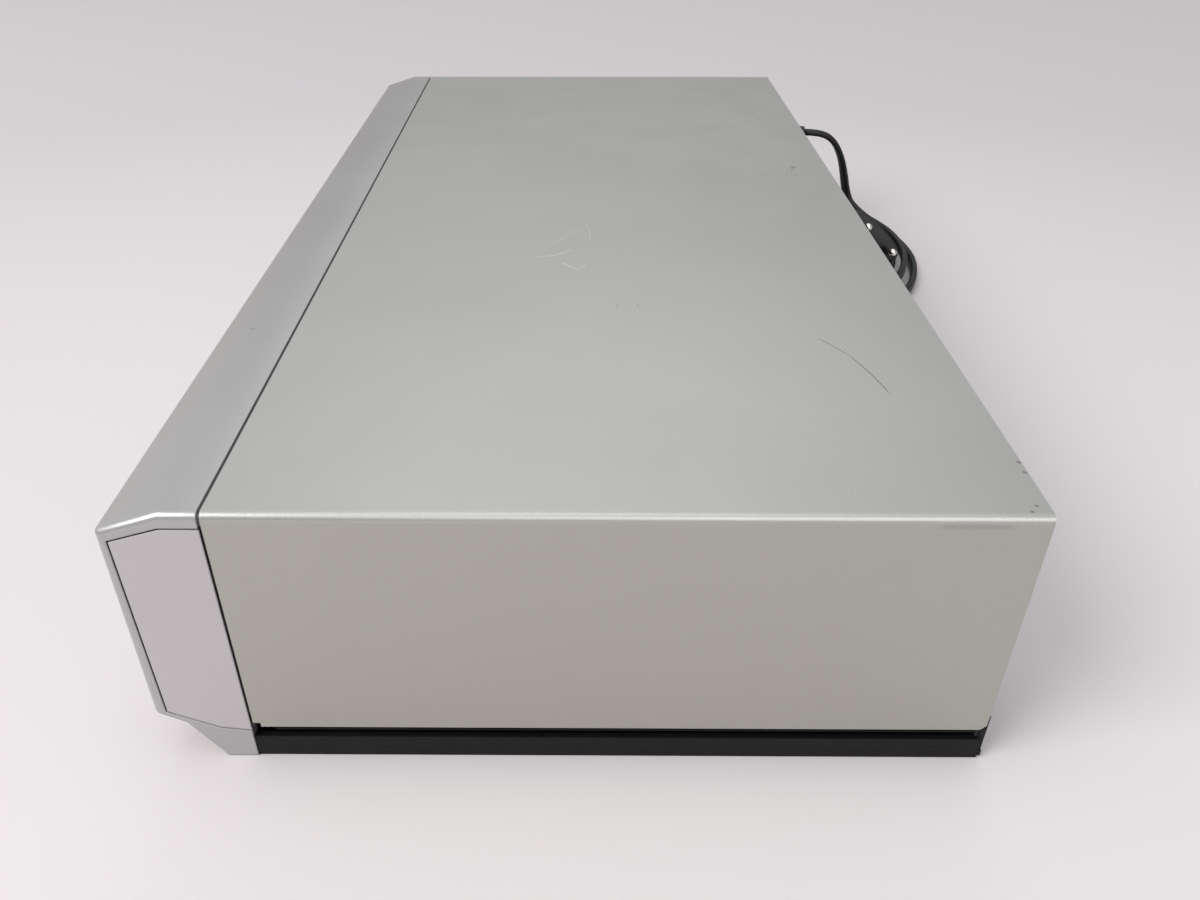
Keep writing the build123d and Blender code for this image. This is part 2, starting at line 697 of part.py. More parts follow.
# --- Front controls ------------------------------------------------------------------------------
switch_face_y = control_y - switch_height
for name, x, z, wide, high in buttons:
    with BuildPart() as button:
        with BuildSketch(Plane.XZ.offset(-(front_y - button_proud))):
            with Locations((x, z)):
                RectangleRounded(wide - 2 * button_gap, high - 2 * button_gap, 0.8)
        extrude(amount=-(button_proud + bezel_wall))
        chamfer(button.faces().sort_by(Axis.Y)[0].edges(), length=0.4)
        with BuildSketch(Plane.XZ.offset(-inner_front_y)):
            with Locations((x, z)):
                Rectangle(wide + 2 * flange_margin, high + 2 * flange_margin)
        extrude(amount=-button_flange)
        with BuildSketch(Plane.XZ.offset(-inner_front_y)):
            with Locations((x, z)):
                Circle(stem_radius)
        extrude(amount=-(switch_face_y - button_travel - screw_gap - inner_front_y))
    button.part.label = name
    export_step(button.part, f"parts/{name}.step")

with BuildPart() as display_window:
    with BuildSketch(Plane.XZ.offset(-(front_y + fit_gap))):
        with Locations((sum(window_x) / 2, sum(window_z) / 2)):
            Rectangle(
                window_x[1] - window_x[0] - 2 * screw_gap,
                window_z[1] - window_z[0] - 2 * screw_gap,
            )
    extrude(amount=-(inner_front_y + window_thickness - front_y - fit_gap))
    with BuildSketch(Plane.XZ.offset(-inner_front_y)):
        with Locations((sum(window_x) / 2, sum(window_z) / 2)):
            Rectangle(window_x[1] - window_x[0] + window_flange, window_z[1] - window_z[0] + window_flange)
    extrude(amount=-window_thickness)
display_window.part.label = "display_window"
export_step(display_window.part, "parts/display_window.step")

# The cassette door: a thin moulded leaf with two ribs behind, a pin at each upper end.
door_half = slot_half - door_gap
door_front_y = front_y + door_recess
door_back_y = door_front_y + door_thickness
door_rib = 1.0
door_rib_pitch = 10.0
with BuildPart() as cassette_door:
    with BuildSketch(Plane.XZ.offset(-door_front_y)):
        with Locations((slot_x, slot_bottom_z + door_gap)):
            Rectangle(
                2 * door_half, slot_top_z - slot_bottom_z - 2 * door_gap, align=(Align.CENTER, Align.MIN)
            )
    extrude(amount=-door_thickness)
    chamfer(cassette_door.faces().sort_by(Axis.Y)[0].edges(), length=0.5)
    with BuildSketch(Plane.XZ.offset(-door_back_y)):
        with Locations((slot_x, (slot_bottom_z + slot_top_z) / 2)):
            with GridLocations(0, door_rib_pitch, 1, 2):
                Rectangle(2 * door_half - 16.0, door_rib)
    extrude(amount=-door_rib)
    # Knuckles that reach back from the leaf to the pins.
    for side in (-1, 1):
        with BuildSketch(Plane.YZ.offset(slot_x + side * door_half)):
            with BuildLine():
                Polyline(
                    (door_back_y - 0.5, slot_top_z - door_gap - 0.5),
                    (door_back_y - 0.5, slot_top_z - 7.0),
                    (door_axis_y + door_pin_radius + 0.4, door_axis_z - 2.0),
                    (door_axis_y + door_pin_radius + 0.4, slot_top_z - door_gap - 0.5),
                    close=True,
                )
            make_face()
            with Locations((door_axis_y, door_axis_z)):
                Circle(door_pin_radius + 0.3)
        extrude(amount=-side * 2.5)
        with BuildSketch(Plane.YZ.offset(slot_x + side * (door_half - 1.0))):
            with Locations((door_axis_y, door_axis_z)):
                Circle(door_pin_radius)
        extrude(amount=side * (1.0 + door_gap + lug_thickness))
cassette_door.part.label = "cassette_door"
export_step(cassette_door.part, "parts/cassette_door.step")

# The flap over the front sockets: it turns on two pins in its rounded lower edge.
flap_half = (flap_x[1] - flap_x[0]) / 2 - button_gap
with BuildPart() as av_flap:
    with BuildSketch(Plane.YZ.offset(flap_mid_x - flap_half)):
        with Locations((flap_axis_y, flap_axis_z)):
            Circle(flap_thickness / 2)
            Rectangle(
                flap_thickness, flap_z[1] - button_gap - flap_axis_z, align=(Align.CENTER, Align.MIN)
            )
    extrude(amount=2 * flap_half)
    # Finger notch in the upper edge.
    with BuildSketch(Plane.XZ.offset(-flap_front_y)):
        with Locations((flap_mid_x, flap_z[1] - button_gap)):
            SlotOverall(16.0, 3.0)
    extrude(amount=-flap_thickness / 2, mode=Mode.SUBTRACT)
    for side in (-1, 1):
        with BuildSketch(Plane.YZ.offset(flap_mid_x + side * flap_half)):
            with Locations((flap_axis_y, flap_axis_z)):
                Circle(flap_pin_radius)
        extrude(amount=side * flap_pin_length)
av_flap.part.label = "av_flap"
export_step(av_flap.part, "parts/av_flap.step")

# Three phono sockets on a small bracket behind the flap.
front_jack_x = [flap_mid_x + i * 16.0 for i in (-1, 0, 1)]
front_jack_z = sum(flap_z) / 2 + 1.0
with BuildPart() as front_av_sockets:
    with BuildSketch(Plane.XZ.offset(-front_jack_y)):
        with Locations((flap_mid_x, sum(flap_z) / 2)):
            Rectangle(flap_x[1] - flap_x[0] + 2 * bracket_margin, flap_z[1] - flap_z[0] + 4.0)
    extrude(amount=-2.0)
    with BuildSketch(Plane.XZ.offset(-front_jack_y)):
        with Locations(*[(x, front_jack_z) for x in front_jack_x]):
            Circle(jack_radius)
    extrude(amount=front_jack_reach)
    with BuildSketch(Plane.XZ.offset(-(front_jack_y - front_jack_reach))):
        with Locations(*[(x, front_jack_z) for x in front_jack_x]):
            Circle(jack_bore)
    extrude(amount=-(front_jack_reach + 1.0), mode=Mode.SUBTRACT)
front_av_sockets.part.label = "front_av_sockets"
export_step(front_av_sockets.part, "parts/front_av_sockets.step")

# --- Tuner, aerial sockets, audio and SCART sockets -----------------------------------------------
tuner_depth = 60.0
tuner_x = (aerial_x[0] - 12.0, aerial_x[1] + 12.0)
tuner_top = 48.0
tuner_rear_y = panel_inner_y - 1.0
with BuildPart() as tuner_can:
    with BuildSketch(Plane.XY.offset(board_top)):
        with Locations((sum(tuner_x) / 2, tuner_rear_y)):
            Rectangle(tuner_x[1] - tuner_x[0], tuner_depth, align=(Align.CENTER, Align.MAX))
    extrude(amount=tuner_top - board_top)
    chamfer(tuner_can.faces().sort_by(Axis.Z)[-1].edges(), length=0.8)
    with BuildSketch(Plane.XY.offset(tuner_top)):
        with Locations((sum(tuner_x) / 2, tuner_rear_y - tuner_depth / 2)):
            with GridLocations(16.0, 18.0, 2, 3):
                Circle(2.5)
    extrude(amount=-0.6, mode=Mode.SUBTRACT)
tuner_can.part.label = "tuner_can"
export_step(tuner_can.part, "parts/tuner_can.step")

# Aerial input (a wide barrel round a contact sleeve) and output (a narrow barrel round a pin).
aerial_front = tuner_rear_y
aerial_end = rear_y + socket_reach
with BuildPart() as aerial_sockets:
    for x, outer, bore, core in (
        (aerial_x[0], aerial_outer, aerial_bore, contact_sleeve),
        (aerial_x[1], aerial_radius, aerial_radius - aerial_wall, contact_pin),
    ):
        with BuildSketch(Plane.XZ.offset(-aerial_front)):
            with Locations((x, aerial_z)):
                Circle(aerial_outer)
        extrude(amount=-(rear_y - aerial_front))
        with BuildSketch(Plane.XZ.offset(-rear_y)):
            with Locations((x, aerial_z)):
                Circle(outer)
        extrude(amount=-socket_reach)
        with BuildSketch(Plane.XZ.offset(-aerial_end)):
            with Locations((x, aerial_z)):
                Circle(bore)
        extrude(amount=socket_reach, mode=Mode.SUBTRACT)
        with BuildSketch(Plane.XZ.offset(-(aerial_end - 1.0))):
            with Locations((x, aerial_z)):
                Circle(core)
        extrude(amount=socket_reach - 1.0)
    with BuildSketch(Plane.XZ.offset(-(aerial_end - 1.0))):
        with Locations((aerial_x[0], aerial_z)):
            Circle(contact_pin)
    extrude(amount=socket_reach - 2.0, mode=Mode.SUBTRACT)
aerial_sockets.part.label = "aerial_sockets"
export_step(aerial_sockets.part, "parts/aerial_sockets.step")

with BuildPart() as jack_board:
    with BuildSketch(Plane.XZ.offset(-jack_board_y)):
        with Locations((sum(jack_board_x) / 2, board_top)):
            Rectangle(jack_board_x[1] - jack_board_x[0], jack_board_height, align=(Align.CENTER, Align.MIN))
    extrude(amount=board_thickness)
jack_board.part.label = "jack_board"
export_step(jack_board.part, "parts/jack_board.step")

# Two 21-way sockets: a raked collar round an insert with two rows of contact slots.
with BuildPart() as scart_sockets:
    for x in scart_x:
        with BuildSketch(Plane.XZ.offset(-jack_board_y)):
            with BuildLine(Plane.XY.offset(0)):
                Polyline(*[(x + u, scart_z + v) for u, v in scart_outline(0)], close=True)
            make_face()
        extrude(amount=-(rear_y + scart_proud - jack_board_y))
        with BuildSketch(Plane.XZ.offset(-(rear_y + scart_proud))):
            with BuildLine(Plane.XY.offset(0)):
                Polyline(*[(x + u, scart_z + v) for u, v in scart_outline(-scart_wall)], close=True)
            make_face()
            with Locations((x - 2.0, scart_z)):
                Rectangle(38.0, 7.0, mode=Mode.SUBTRACT)
        extrude(amount=scart_depth, mode=Mode.SUBTRACT)
        with BuildSketch(Plane.XZ.offset(-(rear_y + scart_proud))):
            with Locations((x - 2.0, scart_z)):
                with GridLocations(3.6, 3.4, 10, 2):
                    Rectangle(1.0, 2.0)
        extrude(amount=6.0, mode=Mode.SUBTRACT)
scart_sockets.part.label = "scart_sockets"
export_step(scart_sockets.part, "parts/scart_sockets.step")

with BuildPart() as audio_sockets:
    with BuildSketch(Plane.XZ.offset(-jack_board_y)):
        with Locations((sum(phono_x) / 2, phono_z)):
            Rectangle(30.0, 14.0)
    extrude(amount=-(panel_inner_y - jack_board_y))
    with BuildSketch(Plane.XZ.offset(-panel_inner_y)):
        with Locations(*[(x, phono_z) for x in phono_x]):
            Circle(phono_collar)
    extrude(amount=-(rear_y - panel_inner_y))
    with BuildSketch(Plane.XZ.offset(-rear_y)):
        with Locations(*[(x, phono_z) for x in phono_x]):
            Circle(jack_radius)
    extrude(amount=-phono_reach)
    with BuildSketch(Plane.XZ.offset(-(rear_y + phono_reach))):
        with Locations(*[(x, phono_z) for x in phono_x]):
            Circle(jack_bore)
    extrude(amount=phono_reach, mode=Mode.SUBTRACT)
audio_sockets.part.label = "audio_sockets"
export_step(audio_sockets.part, "parts/audio_sockets.step")

# --- Tape deck -------------------------------------------------------------------------------------
pin_z = cassette_up_z + 13.4
pin_radius = 2.0
pin_slot = 4.4
pin_ys = (36.0, 96.0)
pin_end_gap = 0.6
frame_front = 6.5 - bezel_depth
frame_front_top = height - 13.0
frame_step_y = -2.0
frame_rear = 118.0
frame_top = height - 9.0
slider_front = 31.0
slider_rear = 101.0
slider_bottom = pin_z - drop - 4.0
slider_top = pin_z + 10.0
# The timing shaft over the holder: a small gear at each end runs on a rack on the slider.
gear_module = 0.8
mesh_gap = 0.12
timing_teeth = 14
timing_radius = gear_module * timing_teeth / 2
timing_y = 34.0
rack_z = slider_top - gear_module
timing_z = rack_z + timing_radius + mesh_gap
timing_shaft_radius = 1.5
ear_rise = 2.6
ear_half = 4.0
tooth_tip = 0.9 * gear_module
tooth_root = 1.25 * gear_module
tip_share = 0.26
root_share = 0.70
rod_radius = 2.0
rod_y = 97.0
rod_z = frame_top + rod_radius + pin_gap
holder_front = 31.0
holder_rear = 101.0
holder_flange = 14.0
holder_floor_z = cassette_up_z
holder_roof_z = cassette_up_z + cassette_height + 0.5
draw_in = at_datum(holder_front) - at_seam(frame_front)

guide_start = (28.0, 90.0)
guide_end = (41.0, 154.0)
guide_dx = guide_end[0] - guide_start[0]
guide_dy = guide_end[1] - guide_start[1]
guide_travel = math.hypot(guide_dx, guide_dy)
guide_angle = math.degrees(math.atan2(guide_dy, guide_dx))
guide_slot = 5.0
peg_radius = 2.3
drum_y = 146.0
drum_radius = 31.0
drum_tilt = 5.0
capstan_at = (50.0, 108.0)
capstan_radius = 1.5
sleeve_radius = 4.0
sleeve_length = 4.6
sleeve_drop = 0.6
flywheel_radius = 28.0
clutch_at = (0.0, 72.0)
reel_x = 46.0
reel_y = 52.0
cam_at = (-74.0, 132.0)
cam_teeth = 48
pinion_teeth = 12
gear_distance = gear_module * (cam_teeth + pinion_teeth) / 2 + mesh_gap
motor_at = (cam_at[0], cam_at[1] + gear_distance)
pinch_pivot = (80.0, 124.0)
roller_radius = 7.2
pinch_length = 30.6
pinch_rest_angle = 167.8
tension_pivot = (-62.0, 84.0)
shaft_radius = 1.5
spindle_gap = 0.05


def rack_outline(start, end, level):
    """Points of a rack's edge from y start to y end at that level, with a space over timing_y."""
    pitch = math.pi * gear_module
    first = math.ceil((start + pitch / 2 - timing_y) / pitch - 0.5)
    last = math.floor((end - pitch / 2 - timing_y) / pitch - 0.5)
    points = []
    for tooth in range(first, last + 1):
        middle = timing_y + (tooth + 0.5) * pitch
        for share, z in (
            (-root_share, level - tooth_root),
            (-tip_share, level + tooth_tip),
            (tip_share, level + tooth_tip),
            (root_share, level - tooth_root),
        ):
            points.append((at_datum(middle + share * pitch / 2), z))
    return points


# The pressed deck plate, with the grooves that the tape guides run in and fixed spindles.
with BuildPart() as deck_plate:
    with BuildSketch(Plane.XY.offset(deck_z)):
        with Locations((slot_x, at_seam(deck_front))):
            Rectangle(2 * deck_half, deck_rear - deck_front, align=(Align.CENTER, Align.MIN))
        for side in (-1, 1):
            middle = at_deck(
                side * (guide_start[0] + guide_end[0]) / 2, (guide_start[1] + guide_end[1]) / 2
            )
            with Locations(middle):
                SlotCenterToCenter(
                    guide_travel,
                    guide_slot,
                    rotation=guide_angle if side > 0 else 180 - guide_angle,
                    mode=Mode.SUBTRACT,
                )
        with Locations(at_deck(*motor_at)):
            Circle(3.0, mode=Mode.SUBTRACT)
        with Locations(*deck_posts):
            Circle(screw_shank_radius + screw_gap, mode=Mode.SUBTRACT)
    extrude(amount=deck_sheet)
    with BuildSketch(Plane.XY.offset(deck_top)):
        with Locations(at_deck(-reel_x, reel_y), at_deck(reel_x, reel_y)):
            Circle(shaft_radius)
    extrude(amount=9.0)
    with BuildSketch(Plane.XY.offset(deck_top)):
        with Locations(at_deck(*cam_at), at_deck(*pinch_pivot)):
            Circle(shaft_radius)
    extrude(amount=5.0)
    with BuildSketch(Plane.XY.offset(deck_top)):
        with Locations(at_deck(*tension_pivot)):
            Circle(shaft_radius)
    extrude(amount=1.2)
    with BuildSketch(Plane.XY.offset(deck_z)):
        with Locations(at_deck(*clutch_at)):
            Circle(shaft_radius)
    extrude(amount=-5.5)
    # Bearing sleeve of the capstan.
    with BuildSketch(Plane.XY.offset(deck_z - sleeve_drop)):
        with Locations(at_deck(*capstan_at)):
            Circle(sleeve_radius)
    extrude(amount=sleeve_length)
    with BuildSketch(Plane.XY.offset(deck_z - sleeve_drop)):
        with Locations(at_deck(*capstan_at)):
            Circle(capstan_radius + spindle_gap)
    extrude(amount=sleeve_length, mode=Mode.SUBTRACT)
deck_plate.part.label = "deck_plate"
export_step(deck_plate.part, "parts/deck_plate.step")

# The carriage frame: two side plates with L-shaped slots, feet on the deck and a rear bridge.
with BuildPart() as carriage_frame:
    for side in (-1, 1):
        face_x = slot_x + side * frame_inner
        with BuildSketch(Plane.YZ.offset(face_x)):
            with BuildLine():
                Polyline(
                    (at_seam(frame_front), slot_bottom_z - 1.0),
                    (at_seam(frame_front), frame_front_top),
                    (at_seam(frame_step_y), frame_top),
                    (at_datum(timing_y) - 2 * ear_half, frame_top),
                    (at_datum(timing_y) - ear_half, timing_z + ear_rise),
                    (at_datum(timing_y) + ear_half, timing_z + ear_rise),
                    (at_datum(timing_y) + 2 * ear_half, frame_top),
                    (at_datum(frame_rear), frame_top),
                    (at_datum(frame_rear), deck_top),
                    (at_seam(deck_front + 4.0), deck_top),
                    (at_seam(frame_front + 7.0), slot_bottom_z - 1.0),
                    close=True,
                )
            make_face()
            for y in pin_ys:
                with Locations((at_datum(y) - draw_in / 2, pin_z)):
                    SlotCenterToCenter(draw_in, pin_slot, mode=Mode.SUBTRACT)
                with Locations((at_datum(y), pin_z - drop / 2)):
                    SlotCenterToCenter(drop, pin_slot, rotation=90, mode=Mode.SUBTRACT)
            with Locations((at_datum(timing_y), timing_z)):
                Circle(timing_shaft_radius + spindle_gap, mode=Mode.SUBTRACT)
        extrude(amount=side * frame_sheet)
        with BuildSketch(Plane.XY.offset(deck_top)):
            with Locations(
                (face_x + side * (frame_sheet + 1.4), at_datum(frame_rear - 58.0)),
                (face_x + side * (frame_sheet + 1.4), at_datum(frame_rear - 10.0)),
            ):
                Rectangle(3.2, 12.0)
        extrude(amount=frame_sheet)
    with BuildSketch(Plane.XY.offset(frame_top - frame_sheet)):
        with Locations((slot_x, at_datum(frame_rear - 5.0))):
            Rectangle(2 * frame_outer, 10.0)
    extrude(amount=frame_sheet)
carriage_frame.part.label = "carriage_frame"
export_step(carriage_frame.part, "parts/carriage_frame.step")

# The slider outside the frame: upright slots push the holder's pins along, a rod ties both sides.
with BuildPart() as carriage_slider:
    for side in (-1, 1):
        with BuildSketch(Plane.YZ.offset(slot_x + side * slider_inner)):
            with BuildLine():
                Polyline(
                    (at_datum(slider_front), slider_bottom),
                    (at_datum(slider_front), rack_z - tooth_root),
                    *rack_outline(slider_front, rod_y - 6.0, rack_z),
                    (at_datum(rod_y - 6.0), rack_z - tooth_root),
                    (at_datum(rod_y - 4.0), rod_z + rod_radius),
                    (at_datum(slider_rear), rod_z + rod_radius),
                    (at_datum(slider_rear), slider_bottom),
                    close=True,
                )
            make_face()
            for y in pin_ys:
                with Locations((at_datum(y), pin_z - drop / 2)):
                    SlotCenterToCenter(drop, pin_slot, rotation=90, mode=Mode.SUBTRACT)
        extrude(amount=side * slider_sheet)
    with BuildSketch(Plane.YZ.offset(slot_x - slider_outer)):
        with Locations((at_datum(rod_y), rod_z)):
            Circle(rod_radius)
    extrude(amount=2 * slider_outer)
carriage_slider.part.label = "carriage_slider"
export_step(carriage_slider.part, "parts/carriage_slider.step")

# The cassette holder: a folded sheet with a windowed roof, in-turned floor flanges and four pins.
with BuildPart() as cassette_holder:
    with BuildSketch(Plane.XZ.offset(-at_datum(holder_front))):
        with Locations((slot_x, holder_floor_z - holder_sheet)):
            Rectangle(
                2 * (holder_inner + holder_sheet),
                holder_roof_z - holder_floor_z + 2 * holder_sheet,
                align=(Align.CENTER, Align.MIN),
            )
        with Locations((slot_x, holder_floor_z)):
            Rectangle(
                2 * holder_inner, holder_roof_z - holder_floor_z, align=(Align.CENTER, Align.MIN), mode=Mode.SUBTRACT
            )
        with Locations((slot_x, holder_floor_z - holder_sheet)):
            Rectangle(
                2 * (holder_inner - holder_flange), holder_sheet, align=(Align.CENTER, Align.MIN), mode=Mode.SUBTRACT
            )
    extrude(amount=-(holder_rear - holder_front))
    with BuildSketch(Plane.XY.offset(holder_roof_z)):
        with Locations((slot_x, at_datum(holder_front + 24.0))):
            with GridLocations(88.0, 0, 2, 1):
                RectangleRounded(64.0, 24.0, 4.0)
    extrude(amount=holder_sheet, mode=Mode.SUBTRACT)
    for side in (-1, 1):
        with BuildSketch(Plane.YZ.offset(slot_x + side * holder_inner)):
            with Locations(*[(at_datum(y), pin_z) for y in pin_ys]):
                Circle(pin_radius)
        extrude(amount=side * (slider_outer + pin_end_gap - holder_inner))
cassette_holder.part.label = "cassette_holder"
export_step(cassette_holder.part, "parts/cassette_holder.step")

# --- Head drum -------------------------------------------------------------------------------------
drum_base = 6.0
lower_drum_height = 18.0
upper_drum_height = 12.0
drum_shaft_radius = 3.0
tilt = math.radians(drum_tilt)
drum_plane = Plane(
    origin=(*at_deck(0, drum_y), deck_top + drum_base),
    x_dir=(1, 0, 0),
    z_dir=(0, -math.sin(tilt), math.cos(tilt)),
)
with BuildPart() as lower_drum:
    with BuildSketch(Plane.XY.offset(deck_top)):
        with Locations(at_deck(0, drum_y)):
            Circle(drum_radius - 4.0)
    extrude(amount=2 * drum_base)
    split(bisect_by=drum_plane, keep=Keep.BOTTOM)
    with BuildSketch(drum_plane):
        Circle(drum_radius)
    extrude(amount=lower_drum_height)
    with BuildSketch(drum_plane.offset(lower_drum_height)):
        Circle(drum_shaft_radius)
    extrude(amount=upper_drum_height + 6.0)
lower_drum.part.label = "lower_drum"
export_step(lower_drum.part, "parts/lower_drum.step")

upper_plane = drum_plane.offset(lower_drum_height + fit_gap)
with BuildPart() as upper_drum:
    with BuildSketch(upper_plane):
        Circle(drum_radius)
        with PolarLocations(drum_radius, 4):
            Rectangle(3.0, 5.0, mode=Mode.SUBTRACT)
    extrude(amount=3.0)
    with BuildSketch(upper_plane.offset(3.0)):
        Circle(drum_radius)
    extrude(amount=upper_drum_height - 3.0)
    with BuildSketch(upper_plane.offset(upper_drum_height)):
        Circle(drum_radius - 4.0)
        Circle(drum_radius - 12.0, mode=Mode.SUBTRACT)
    extrude(amount=-4.0, mode=Mode.SUBTRACT)
    with BuildSketch(upper_plane.offset(upper_drum_height)):
        Circle(drum_radius - 14.0)
    extrude(amount=4.0)
    with BuildSketch(upper_plane):
        Circle(drum_shaft_radius + spindle_gap)
    extrude(amount=upper_drum_height + 4.0, mode=Mode.SUBTRACT)
upper_drum.part.label = "upper_drum"
export_step(upper_drum.part, "parts/upper_drum.step")

# --- Tape guides, reels and heads -------------------------------------------------------------------
guide_block = (11.0, 9.0, 4.0)
guide_roller_radius = 3.0
guide_top_z = cassette_up_z - 1.0
for name, side in (("supply_guide", -1), ("takeup_guide", 1)):
    place = at_deck(side * guide_start[0], guide_start[1])
    with BuildPart() as guide:
        with BuildSketch(Plane.XY.offset(deck_top + spindle_gap)):
            with Locations(place):
                RectangleRounded(guide_block[0], guide_block[1], 1.5)
        extrude(amount=guide_block[2])
        with BuildSketch(Plane.XY.offset(deck_z - 1.0)):
            with Locations(place):
                Circle(peg_radius)
        extrude(amount=3.0)
        with BuildSketch(Plane.XY.offset(deck_top + guide_block[2])):
            with Locations((place[0] + side * 1.5, place[1] + 1.0)):
                Circle(guide_roller_radius)
        extrude(amount=guide_top_z - deck_top - guide_block[2])
        with BuildSketch(Plane.XY.offset(deck_top + guide_block[2])):
            with Locations((place[0] - side * 3.8, place[1] - 2.0)):
                Circle(1.2)
        extrude(amount=guide_top_z - 4.0 - deck_top - guide_block[2])
    guide.part.label = name
    export_step(guide.part, f"parts/{name}.step")

reel_disc_radius = 20.0
reel_hub_radius = 8.5
reel_spline_reach = 12.0
for name, side in (("supply_reel", -1), ("takeup_reel", 1)):
    place = at_deck(side * reel_x, reel_y)
    with BuildPart() as reel:
        with BuildSketch(Plane.XY.offset(deck_top + fit_gap)):
            with Locations(place):
                Circle(reel_disc_radius)
        extrude(amount=0.9)
        with BuildSketch(Plane.XY.offset(deck_top + fit_gap)):
            with Locations(place):
                Circle(reel_hub_radius)
        extrude(amount=9.5)
        chamfer(reel.faces().sort_by(Axis.Z)[-1].edges(), length=1.5)
        with BuildSketch(Plane.XY.offset(deck_top + 1.5)):
            with Locations(place):
                with PolarLocations(reel_hub_radius + 1.0, 6):
                    Rectangle(5.0, 2.0)
        extrude(amount=6.5)
        with BuildSketch(Plane.XY.offset(deck_top + fit_gap)):
            with Locations(place):
                Circle(shaft_radius + spindle_gap)
        extrude(amount=9.5, mode=Mode.SUBTRACT)
    reel.part.label = name
    export_step(reel.part, f"parts/{name}.step")

erase_at = (-52.0, 113.0)
control_head_at = (56.0, 148.0)
head_height = 20.0
for name, place in (("erase_head", erase_at), ("control_head", control_head_at)):
    with BuildPart() as head:
        with BuildSketch(Plane.XY.offset(deck_top)):
            with Locations(at_deck(*place)):
                Rectangle(11.0, 9.0)
        extrude(amount=head_height)
        fillet(head.edges().filter_by(Axis.Z), radius=1.5)
    head.part.label = name
    export_step(head.part, f"parts/{name}.step")

tension_post = (-42.0, 92.0)
with BuildPart() as tension_arm:
    with BuildSketch(Plane.XY.offset(deck_top + spindle_gap)):
        arm_angle = math.degrees(
            math.atan2(tension_post[1] - tension_pivot[1], tension_post[0] - tension_pivot[0])
        )
        arm_length = math.hypot(tension_post[0] - tension_pivot[0], tension_post[1] - tension_pivot[1])
        middle = at_deck(
            (tension_post[0] + tension_pivot[0]) / 2, (tension_post[1] + tension_pivot[1]) / 2
        )
        with Locations(middle):
            SlotCenterToCenter(arm_length, 6.0, rotation=arm_angle)
        with Locations(at_deck(*tension_pivot)):
            Circle(shaft_radius + spindle_gap, mode=Mode.SUBTRACT)
    extrude(amount=1.0)
    with BuildSketch(Plane.XY.offset(deck_top + spindle_gap)):
        with Locations(at_deck(*tension_post)):
            Circle(1.5)
    extrude(amount=guide_top_z - deck_top - spindle_gap)
tension_arm.part.label = "tension_arm"
export_step(tension_arm.part, "parts/tension_arm.step")

# --- Capstan, belt, clutch pulley and pinch roller --------------------------------------------------
flywheel_z = board_top + 2.0
flywheel_height = 7.5
pulley_z = flywheel_z + flywheel_height
pulley_height = 3.4
capstan_pulley_radius = 7.0
clutch_radius = 14.0
belt_gap = 0.06
belt_thickness = 0.8
belt_width = 1.4
groove_rim = 0.8
rim_reach = 1.2
capstan_top_z = 52.0
with BuildPart() as capstan_rotor:
    with BuildSketch(Plane.XY.offset(flywheel_z)):
        with Locations(at_deck(*capstan_at)):
            Circle(flywheel_radius)
    extrude(amount=flywheel_height)
    chamfer(capstan_rotor.edges(), length=0.8)
    with BuildSketch(Plane.XY.offset(pulley_z)):
        with Locations(at_deck(*capstan_at)):
            Circle(capstan_pulley_radius)
    extrude(amount=pulley_height)
    for rim_z in (pulley_z, pulley_z + pulley_height - groove_rim):
        with BuildSketch(Plane.XY.offset(rim_z)):
            with Locations(at_deck(*capstan_at)):
                Circle(capstan_pulley_radius + rim_reach)
        extrude(amount=groove_rim)
    with BuildSketch(Plane.XY.offset(pulley_z)):
        with Locations(at_deck(*capstan_at)):
            Circle(capstan_radius)
    extrude(amount=capstan_top_z - pulley_z)
capstan_rotor.part.label = "capstan_rotor"
export_step(capstan_rotor.part, "parts/capstan_rotor.step")

with BuildPart() as clutch_pulley:
    with BuildSketch(Plane.XY.offset(pulley_z)):
        with Locations(at_deck(*clutch_at)):
            Circle(clutch_radius)
    extrude(amount=pulley_height)
    for rim_z in (pulley_z, pulley_z + pulley_height - groove_rim):
        with BuildSketch(Plane.XY.offset(rim_z)):
            with Locations(at_deck(*clutch_at)):
                Circle(clutch_radius + rim_reach)
        extrude(amount=groove_rim)
    with BuildSketch(Plane.XY.offset(pulley_z)):
        with Locations(at_deck(*clutch_at)):
            Circle(shaft_radius + spindle_gap)
    extrude(amount=pulley_height, mode=Mode.SUBTRACT)
clutch_pulley.part.label = "clutch_pulley"
export_step(clutch_pulley.part, "parts/clutch_pulley.step")

with BuildPart() as drive_belt:
    with BuildSketch(Plane.XY.offset(pulley_z + (pulley_height - belt_width) / 2)):
        with BuildSketch(mode=Mode.PRIVATE) as rims:
            with Locations(at_deck(*capstan_at)):
                Circle(capstan_pulley_radius + belt_gap + belt_thickness)
            with Locations(at_deck(*clutch_at)):
                Circle(clutch_radius + belt_gap + belt_thickness)
        make_hull(rims.sketch.edges())
    extrude(amount=belt_width)
    with BuildSketch(Plane.XY.offset(pulley_z + (pulley_height - belt_width) / 2)):
        with BuildSketch(mode=Mode.PRIVATE) as tracks:
            with Locations(at_deck(*capstan_at)):
                Circle(capstan_pulley_radius + belt_gap)
            with Locations(at_deck(*clutch_at)):
                Circle(clutch_radius + belt_gap)
        make_hull(tracks.sketch.edges())
    extrude(amount=belt_width, mode=Mode.SUBTRACT)
drive_belt.part.label = "drive_belt"
export_step(drive_belt.part, "parts/drive_belt.step")

